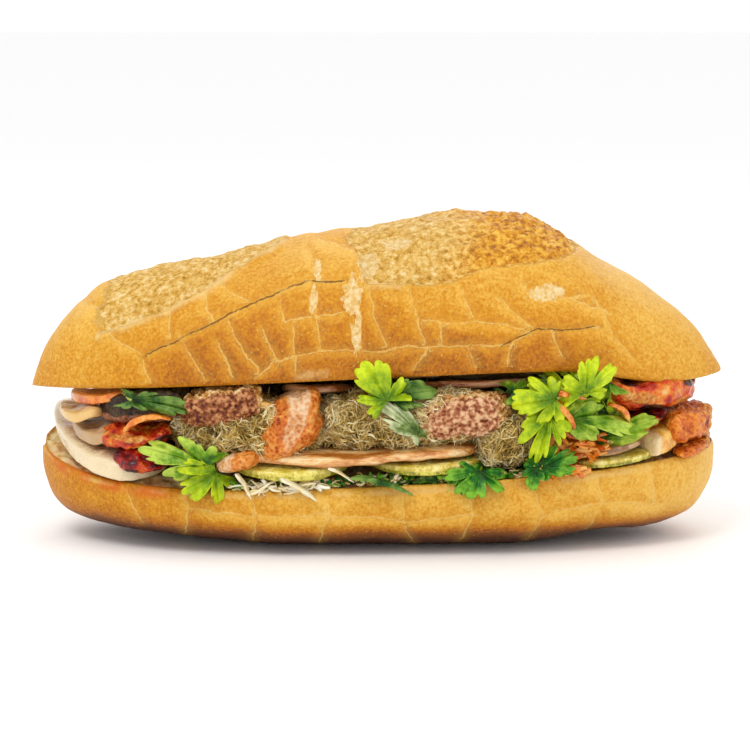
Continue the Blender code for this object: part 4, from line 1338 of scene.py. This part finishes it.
def core_of(node, cuts, sink=0.0022, shrink=0.06):
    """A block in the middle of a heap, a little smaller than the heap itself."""
    x, behind, up, plan, profile = HEAPS[node]
    behind = (behind[0] + sink, behind[1] - 0.001)
    x, up = shrunk(*x, shrink), shrunk(*up, shrink)
    return block(node + "_core", x, behind, up, plan, profile, cuts=cuts)


FLOSS_STRANDS = {"floss_left": 4200, "floss_middle": 4800, "floss_right": 2000}
FLOSS_LENGTHS = (0.0022, 0.0062)
FLOSS_WIDTHS = (0.00016, 0.00060)
BRIGHT_EVERY = 17


def make_floss(finishes):
    template, grid = grid_template("strand", 6, 3)
    for seed, (node, count) in enumerate(FLOSS_STRANDS.items()):
        draw = np.random.default_rng(300 + seed)
        piece, unit, _ = core_of(node, 56, 0.0012, 0.03)
        co = places(piece)
        tufts = 1 - smooth_step(cells(co, 0.0052, 310 + seed)[0], 0.0, 0.9)
        push(piece, tufts * 0.0026 - 0.0010)
        total = lumps(piece, co, (0.0100, 0.0010), (0.0030, 0.0009), (0.0013, 0.0004), seed=320 + seed)
        # painted light and shade: the packed floss is lighter on its tufts and high lumps and dark olive in
        # the hollows between them
        high = np.clip(tufts * 0.6 + (total / np.abs(total).max()) * 0.4 + 0.25, 0, 1)
        note(piece, "tint", high * 0.9 - 0.05)
        dress(piece, finishes["floss_core"], node)

        co, out = places(piece), normals(piece)
        showing = np.flatnonzero((unit[:, 1] < 0.55) & (np.abs(unit[:, 2]) < 0.96))
        weight = (0.15 + smooth_step(-unit[showing, 1], -0.4, 0.7)) * (0.25 + high[showing])
        chosen = draw.choice(showing, count, p=weight / weight.sum())
        spots = co[chosen] + out[chosen] * draw.uniform(-0.0003, 0.0011, (count, 1))
        spots += draw.normal(scale=0.0002, size=(count, 3))
        clump = np.stack([soft_noise(spots, 0.0045, 330 + k) for k in range(3)], axis=-1)
        ways = clump * 1.6 + draw.normal(scale=0.55, size=(count, 3))
        ways -= out[chosen] * np.sum(ways * out[chosen], axis=1)[:, None] * 0.75
        lengths = draw.uniform(*FLOSS_LENGTHS, count)
        widths = draw.uniform(*FLOSS_WIDTHS, count)
        widths[::BRIGHT_EVERY] *= 1.4
        points = strand_points(grid, spots, ways, lengths, widths, widths * 0.8, 0.12, draw, 0.8, 0.9)
        # strands take the painted light and shade of the spot they grow from
        tints = np.clip(high[chosen] * 0.85 - 0.06 + draw.normal(scale=0.24, size=count), 0, 1)
        tints[::BRIGHT_EVERY] = 1.0
        dress(many(node + "_strands", template, points, tints), finishes["floss"], node)


SHREDS = (
    # node, finish, how many, length, width, seed
    ("carrot_heap_right", "carrot_shred", 60, 0.0085, 0.0017, 401),
    ("carrot_bits_right", "carrot_shred", 40, 0.0065, 0.0017, 402),
    ("pickle_heap_left", "daikon_shred", 46, 0.0080, 0.0012, 403),
)


def make_shreds(finishes):
    template, grid = grid_template("shred", 8, 4)
    for node, finish, count, length, width, seed in SHREDS:
        draw = np.random.default_rng(seed)
        piece, unit, _ = core_of(node, 26)
        lumps(piece, places(piece), (0.0040, 0.0007), seed=seed)
        note(piece, "tint", np.full(len(unit), 0.1))
        dress(piece, finishes["floss_core" if node == "pickle_heap_left" else finish], node)
        x, behind, up = HEAPS[node][:3]
        low, high = shrunk(*x, 0.10)
        level_low, level_high = shrunk(*up, 0.12)
        spots = mouth(
            draw.uniform(low, high, count),
            behind[0] + 0.0012 + np.abs(draw.normal(scale=0.0018, size=count)),
            draw.uniform(level_low, level_high, count),
        )
        ways = draw.normal(size=(count, 3)) * (1.0, 0.45, 0.38)
        lengths = length * draw.uniform(0.55, 1.15, count)
        widths = width * draw.uniform(0.7, 1.25, count)
        points = strand_points(grid, spots, ways, lengths, widths, widths * 0.6, 0.10, draw, 0.35, 0.7)
        tints = np.clip(0.55 + draw.normal(scale=0.25, size=count), 0, 1)
        dress(many(node + "_shreds", template, points, tints), finishes[finish], node)


SLIVERS = {
    # ends as along, height and off the rim in millimetres, then width, thickness and arch, and finish
    "pork_rind_left": ((-70.0, 35.0, 1.2), (-57.2, 39.0, 2.2), (5.0, 1.8, 2.2), "carrot"),
    "daikon_shred_left": ((-38.8, 24.5, 2.0), (-34.5, 17.2, 2.2), (3.0, 0.9, 0.4), "daikon_shred"),
    "daikon_shred_middle": ((-26.2, 23.2, 2.0), (-16.0, 17.0, 2.4), (3.6, 1.0, 0.5), "daikon_shred"),
    "daikon_shred_right": ((-13.0, 26.2, 2.0), (-5.8, 22.2, 2.0), (2.4, 0.9, 0.4), "daikon_shred"),
    "spring_onion": ((-6.6, 23.6, 3.0), (10.8, 18.4, 2.4), (3.8, 1.4, 1.4), "dark_leaf"),
    "carrot_sliver_right": ((49.0, 45.0, 1.2), (56.0, 35.8, 1.6), (3.6, 1.8, 0.8), "carrot"),
    "carrot_sliver_top": ((50.0, 46.8, 0.8), (59.0, 44.6, 0.8), (2.6, 1.8, 0.4), "carrot"),
    "carrot_curl_right": ((65.2, 43.0, 1.6), (71.2, 37.2, 1.8), (4.6, 1.6, 1.4), "carrot"),
}


def make_slivers(finishes):
    for seed, (node, (start, end, (width, thick, arch), finish)) in enumerate(SLIVERS.items()):
        first, last = (outside(x / 1000, height / 1000, off / 1000) for x, height, off in (start, end))
        way = last - first
        pose = Matrix.Translation((first + last) / 2) @ way.to_track_quat("X", "Z").to_matrix().to_4x4()
        shape = bmesh.new()
        bmesh.ops.create_cube(shape, size=1)
        bmesh.ops.bevel(
            shape, geom=shape.edges[:], offset=0.16, segments=2, profile=0.5, affect="EDGES", material=-1
        )
        bmesh.ops.subdivide_edges(shape, edges=shape.edges[:], cuts=9, use_grid_fill=True)
        piece = finish_shape(shape, node + "_food")
        co = places(piece)
        share = np.clip(co[:, 0] * 2, -1, 1)
        slim = (1 - 0.78 * np.maximum(0, share) ** 1.6) * (1 - 0.40 * np.maximum(0, -share) ** 6)
        place = np.stack([share * 3, share * 0, share * 0], axis=-1) + seed * 7.1
        uneven = 1 + 0.42 * soft_noise(place, 1.0, seed)
        local = np.stack(
            [
                co[:, 0] * way.length,
                co[:, 1] * width / 1000 * slim * uneven + 0.0004 * np.sin(share * 3 + seed),
                co[:, 2] * thick / 1000 * slim + arch / 1000 * (1 - share**2),
            ],
            axis=-1,
        )
        rotate = np.array(pose.to_3x3())
        put(piece, local @ rotate.T + np.array(pose.translation))
        place = places(piece)
        push(piece, layered_noise(place, 0.0022, 3, 500 + seed) * 0.0004)
        note(piece, "tint", 0.35 + 0.45 * np.abs(co[:, 0]) * 2 + layered_noise(place, 0.003, 2, seed) * 0.2)
        # the spring onion, the one sliver whose finish reads this, is painted lighter towards its ends: a
        # painted highlight
        note(piece, "tip", 0.05 + 0.4 * np.abs(share) ** 2)
        note(piece, "vein", (np.abs(co[:, 1]) < 0.06).astype(float) * 0.6)
        note(piece, "edge", smooth_step(co[:, 2], 0.1, 0.5))
        dress(piece, finishes[finish], node)


# ---------------------------------------------------------------- leaves

# Angles from a leaf's tip, in degrees: between its lobes, at its small teeth, and along its veins
MAIN_CUTS = (-84, -38, 38, 84)
SIDE_CUTS = (-101, -69, -55, -24, -9, 10, 25, 54, 68, 102)
VEINS = (0, -62, 62, -15, 15, -31, 31, -75, 75, -95, 95)
MAIN_VEINS = 3
LEAF_TURN = math.radians(118)
LEAF_THICKNESS = 0.00028
STEM_WIDTH = 0.0009


def leaf_points(grid, spin, size, pose, bend, depth, draw):
    """Points of one lobed leaf whose stem end is at the far side of its outline from its tip."""
    turn = grid[:, 0] * 2 * LEAF_TURN
    out = grid[:, 1] + 0.5
    edge = (0.64 + 0.36 * np.cos(turn * 0.9)) * (1 + 0.11 * np.sin(turn * 2.4 + draw.uniform(0, 6)))
    for cut in MAIN_CUTS:
        deep = depth * (1.40 if abs(cut) < 60 else 1.05) * draw.uniform(0.85, 1.1)
        at = math.radians(cut + draw.uniform(-8, 8))
        edge = edge * (1 - deep * np.exp(-np.abs((turn - at) / 0.13) ** 1.5))
    for cut in SIDE_CUTS:
        notch = draw.uniform(0.4, 1.5) * 0.42 * depth
        at = math.radians(cut + draw.uniform(-4, 4))
        edge = edge * (1 - notch * np.exp(-np.abs(turn - at) / 0.062))
    radius = out * edge
    u = -0.92 + 1.92 * radius * np.cos(turn)
    w = 1.42 * radius * np.sin(turn)
    c, s = math.cos(spin), math.sin(spin)
    x, y = (u * c - w * s) * size[0], (u * s + w * c) * size[1]
    big = max(size)
    cup = -bend * (x * x + y * y) / big
    ripple = 0.20 * np.sin(turn * 3.2 + draw.uniform(0, 6)) + 0.13 * np.sin(turn * 8 + draw.uniform(0, 6))
    ripple = (ripple + 0.05 * np.sin(turn * 17 + draw.uniform(0, 6))) * out**1.6
    fold = 0.16 * out * np.abs(np.sin(turn * 1.9))
    z = cup + (ripple + fold) * big * 0.8
    local = np.stack([x, y, z], axis=-1)
    placed = local @ np.array(pose.to_3x3()).T + np.array(pose.translation)
    vein = np.zeros(len(turn))
    for number, centre in enumerate(VEINS):
        strength = 1.0 if number < MAIN_VEINS else 0.25
        aside = (turn - math.radians(centre)) * (out + 0.15)
        vein = np.maximum(vein, strength * np.exp(-((aside / 0.035) ** 2)))
    return placed, np.clip(out * (0.4 + 0.6 * edge), 0, 1), vein * (1 - 0.5 * out)


def leaf_mesh(name, template, parts, tints):
    """One thin mesh of one or more leaves, from what leaf_points gives for each."""
    points, tips, veins = (np.stack(values) for values in zip(*parts))
    piece = many(name, template, points, np.array(tints))
    note(piece, "tip", tips.ravel())
    note(piece, "vein", veins.ravel())
    thickness = piece.modifiers.new("thickness", "SOLIDIFY")
    thickness.thickness = LEAF_THICKNESS
    thickness.offset = 0.0
    return piece


LEAVES = {
    # middle in millimetres along, up and off the rim, half size, facing, finish, the way its tip points,
    # how deep its cuts are
    "coriander_left_upper": ((-56.0, 29.0, 4.0), (9.8, 6.8), (72, 8, -12), "green_leaf", 172, 0.50),
    "coriander_left_lower": ((-49.5, 21.5, 4.5), (7.8, 6.2), (84, 22, 8), "lime_leaf", 238, 0.50),
    "mint_left": ((-60.5, 43.2, 1.0), (9.0, 3.4), (64, 6, -10), "dark_leaf", -8, 0.42),
    "coriander_middle": ((0.5, 50.5, 4.6), (8.0, 6.2), (80, -24, 6), "lime_leaf", 95, 0.52),
    # this coriander at the back is given the dark leaf finish as painted shade
    "coriander_middle_back": ((9.0, 47.0, 0.6), (7.8, 4.6), (70, 14, -8), "dark_leaf", 40, 0.45),
    "mint_middle": ((7.5, 40.5, 2.6), (8.2, 4.0), (66, 28, 4), "silver_leaf", 152, 0.48),
    "coriander_low_middle": ((27.8, 21.2, 3.2), (8.0, 4.8), (72, 6, 4), "bright_leaf", 262, 0.50),
    "coriander_right_upper": ((43.7, 44.5, 3.6), (7.0, 6.8), (78, -12, 4), "lime_leaf", 178, 0.52),
    "coriander_right_lower": ((46.8, 34.5, 4.2), (6.6, 7.8), (82, 16, -6), "lime_leaf", 272, 0.52),
    "coriander_right_top": ((59.0, 52.5, 4.6), (7.8, 5.4), (76, -30, 10), "lime_leaf", 62, 0.52),
    "coriander_right_dark": ((62.8, 38.5, 2.4), (9.8, 5.8), (68, 12, 12), "green_leaf", 8, 0.42),
    "coriander_right_bottom": ((51.8, 28.5, 3.0), (6.4, 4.4), (70, -6, 8), "bright_leaf", 25, 0.40),
    "coriander_right_tip": ((44.0, 23.2, 2.8), (3.4, 3.0), (78, 0, 0), "bright_leaf", 262, 0.40),
    "lettuce_right": ((72.5, 36.2, 1.8), (9.8, 3.6), (62, -14, 8), "lettuce", 6, 0.16),
}


def leaf_pose(place, facing):
    return Matrix.Translation(place) @ Euler([math.radians(angle) for angle in facing]).to_matrix().to_4x4()


def make_leaves(finishes):
    template, grid = grid_template("leaf", 112, 8)
    stems = []
    for seed, (node, (middle, half, facing, finish, spin, depth)) in enumerate(LEAVES.items()):
        draw = np.random.default_rng(600 + seed)
        pose = leaf_pose(outside(*(value / 1000 for value in middle)), facing)
        size = [value / 1000 for value in half]
        part = leaf_points(grid, math.radians(spin), size, pose, 0.25, depth, draw)
        piece = leaf_mesh(node + "_leaf", template, [part], [draw.uniform(-0.06, 0.10)])
        dress(piece, finishes[finish], node)
        way = math.radians(spin)
        foot = pose @ Vector((-0.9 * math.cos(way) * size[0], -0.9 * math.sin(way) * size[1], -0.0006))
        inward = Vector((-math.cos(way) * 0.004, 0.0085, -math.sin(way) * 0.0015))
        stems.append((foot, foot + inward))

    draw = np.random.default_rng(640)
    stem_template, stem_grid = grid_template("stem", 8, 6)
    ends = np.array([[list(a), list(b)] for a, b in stems])
    ways = ends[:, 1] - ends[:, 0]
    lengths = np.linalg.norm(ways, axis=1)
    thick = np.full(len(stems), STEM_WIDTH)
    points = strand_points(stem_grid, ends.mean(axis=1), ways, lengths, thick, thick, 0.05, draw, 0.2, 0.4)
    dress(many("herb_stems", stem_template, points, draw.uniform(0, 1, len(stems))), finishes["stem"])


BUNCHES = (
    # node, how many, leaf size, finishes, seed
    ("coriander_bunch_right", 34, 0.0062, ("green_leaf", "dark_leaf", "lime_leaf"), 650),
    ("herb_heap_middle", 22, 0.0036, ("bright_leaf", "dark_leaf", "bright_leaf"), 651),
)


def make_bunches(finishes):
    template, grid = grid_template("small_leaf", 64, 5)
    for node, count, length, kinds, seed in BUNCHES:
        draw = np.random.default_rng(seed)
        piece, unit, _ = core_of(node, 30, 0.0045, 0.10)
        lumps(piece, places(piece), (0.0050, 0.0009), seed=seed)
        # painted shade: the core inside each bunch is the darkest leaf green, standing for the shade between
        # the leaves
        for name, value in (("tint", -0.1), ("tip", 0.1), ("vein", 0.0)):
            note(piece, name, np.full(len(unit), value))
        dress(piece, finishes["dark_leaf"], node)
        x, behind, up = HEAPS[node][:3]
        for number, kind in enumerate(kinds):
            parts = []
            share = count // len(kinds)
            for _ in range(share):
                where = mouth(
                    np.array([draw.uniform(*shrunk(*x, 0.12))]),
                    np.array([behind[0] + draw.uniform(-0.0005, 0.006)]),
                    np.array([draw.uniform(*shrunk(*up, 0.10))]),
                )[0]
                facing = (draw.uniform(48, 100), draw.uniform(-35, 35), draw.uniform(-40, 40))
                size = length * draw.uniform(0.7, 1.15)
                pose = leaf_pose(Vector(where), facing)
                spin = draw.uniform(0, 2 * math.pi)
                parts.append(leaf_points(grid, spin, (size, size * 0.8), pose, 0.3, 0.48, draw))
            name = f"{node}_leaves_{number + 1}"
            dress(leaf_mesh(name, template, parts, draw.uniform(-0.12, 0.12, share)), finishes[kind], node)


RIM_BITS = (
    # piece, finish, how many, length, width, from and to along the roll, seed
    ("rim_pickle_bits", "daikon_shred", 70, 0.0042, 0.0011, -0.046, 0.052, 701),
    ("rim_herb_bits", "bright_leaf", 90, 0.0036, 0.0015, -0.046, 0.050, 702),
    ("rim_floss_bits", "floss", 160, 0.0034, 0.0004, -0.050, 0.056, 703),
)


def make_bits(finishes):
    """Loose shreds and torn herb that lie along the rim of the base, under the slices."""
    template, grid = grid_template("bit", 5, 4)
    for name, finish, count, length, width, low, high, seed in RIM_BITS:
        draw = np.random.default_rng(seed)
        x = draw.uniform(low, high, count)
        behind = 0.0010 + np.abs(draw.normal(scale=0.0016, size=count))
        spots = mouth(x, behind, draw.uniform(0.005, 0.07, count))
        ways = draw.normal(size=(count, 3)) * (1.0, 0.6, 0.35)
        lengths = length * draw.uniform(0.5, 1.2, count)
        widths = width * draw.uniform(0.6, 1.3, count)
        points = strand_points(grid, spots, ways, lengths, widths, widths * 0.5, 0.14, draw, 0.5, 0.8)
        piece = many(name, template, points, np.clip(0.5 + draw.normal(scale=0.3, size=count), 0, 1) * 0.6)
        note(piece, "tip", np.repeat(draw.uniform(0.0, 0.6, count), len(grid)))
        note(piece, "vein", np.zeros(count * len(grid)))
        dress(piece, finishes[finish])


def make_filling():
    finishes = make_finishes()
    make_bits(finishes)
    make_mince(finishes)
    make_roasts(finishes)
    make_glazed(finishes)
    make_slices(finishes)
    make_floss(finishes)
    make_shreds(finishes)
    make_slivers(finishes)
    make_leaves(finishes)
    make_bunches(finishes)


# ---------------------------------------------------------------- floor, light and camera


FLOOR_HALF_SIZE = 6
LAMPS = (
    # name, place, width and watts
    ("key", (-0.35, -0.60, 0.95), 0.40, 3.6),
    ("side", (0.85, -0.45, 0.60), 0.50, 1.2),
    ("back", (0.10, 0.80, 0.70), 0.60, 1.2),
)
LAMPS_AIM = Vector((0, 0, 0.045))
VIEW_RISE = math.radians(8.5)
VIEW_HEIGHT = 0.0462
VIEW_DISTANCE = 0.80
LENS, FILM_WIDTH = 131.7, 36.0


def make_stage():
    shape = bmesh.new()
    bmesh.ops.create_grid(shape, x_segments=1, y_segments=1, size=FLOOR_HALF_SIZE)
    floor = finish_shape(shape, "studio_floor")
    f = Finish("white_paper", roughness=0.9, Specular_IOR_Level=0.1)
    paper = f.plain_ramp(f.noise(0.004, 2), (0.0, (0.95, 0.95, 0.95, 1)), (1.0, (0.99, 0.99, 0.99, 1)))
    floor.data.materials.append(f.done(paper))

    world = bpy.data.worlds.new("studio")
    world.use_nodes = True
    world.node_tree.nodes["Background"].inputs["Color"].default_value = (1, 1, 1, 1)
    world.node_tree.nodes["Background"].inputs["Strength"].default_value = 1.0
    bpy.context.scene.world = world

    for name, place, size, watts in LAMPS:
        lamp = bpy.data.lights.new(name, "AREA")
        lamp.size = size
        lamp.energy = watts
        obj = bpy.data.objects.new(name, lamp)
        obj.location = place
        obj.rotation_euler = (LAMPS_AIM - Vector(place)).to_track_quat("-Z", "Y").to_euler()
        bpy.context.scene.collection.objects.link(obj)


def make_camera():
    camera = bpy.data.objects.new("camera", bpy.data.cameras.new("camera"))
    camera.data.lens = LENS
    camera.data.sensor_width = FILM_WIDTH
    aim = Vector((0.0, 0.0, VIEW_HEIGHT))
    camera.location = aim + Vector((0, -math.cos(VIEW_RISE), math.sin(VIEW_RISE))) * VIEW_DISTANCE
    camera.rotation_euler = (aim - camera.location).to_track_quat("-Z", "Y").to_euler()
    camera.data.clip_end = 20
    bpy.context.scene.collection.objects.link(camera)
    bpy.context.scene.camera = camera


bpy.context.scene.view_settings.view_transform = "Standard"
make_roll()
make_filling()
make_stage()
make_camera()
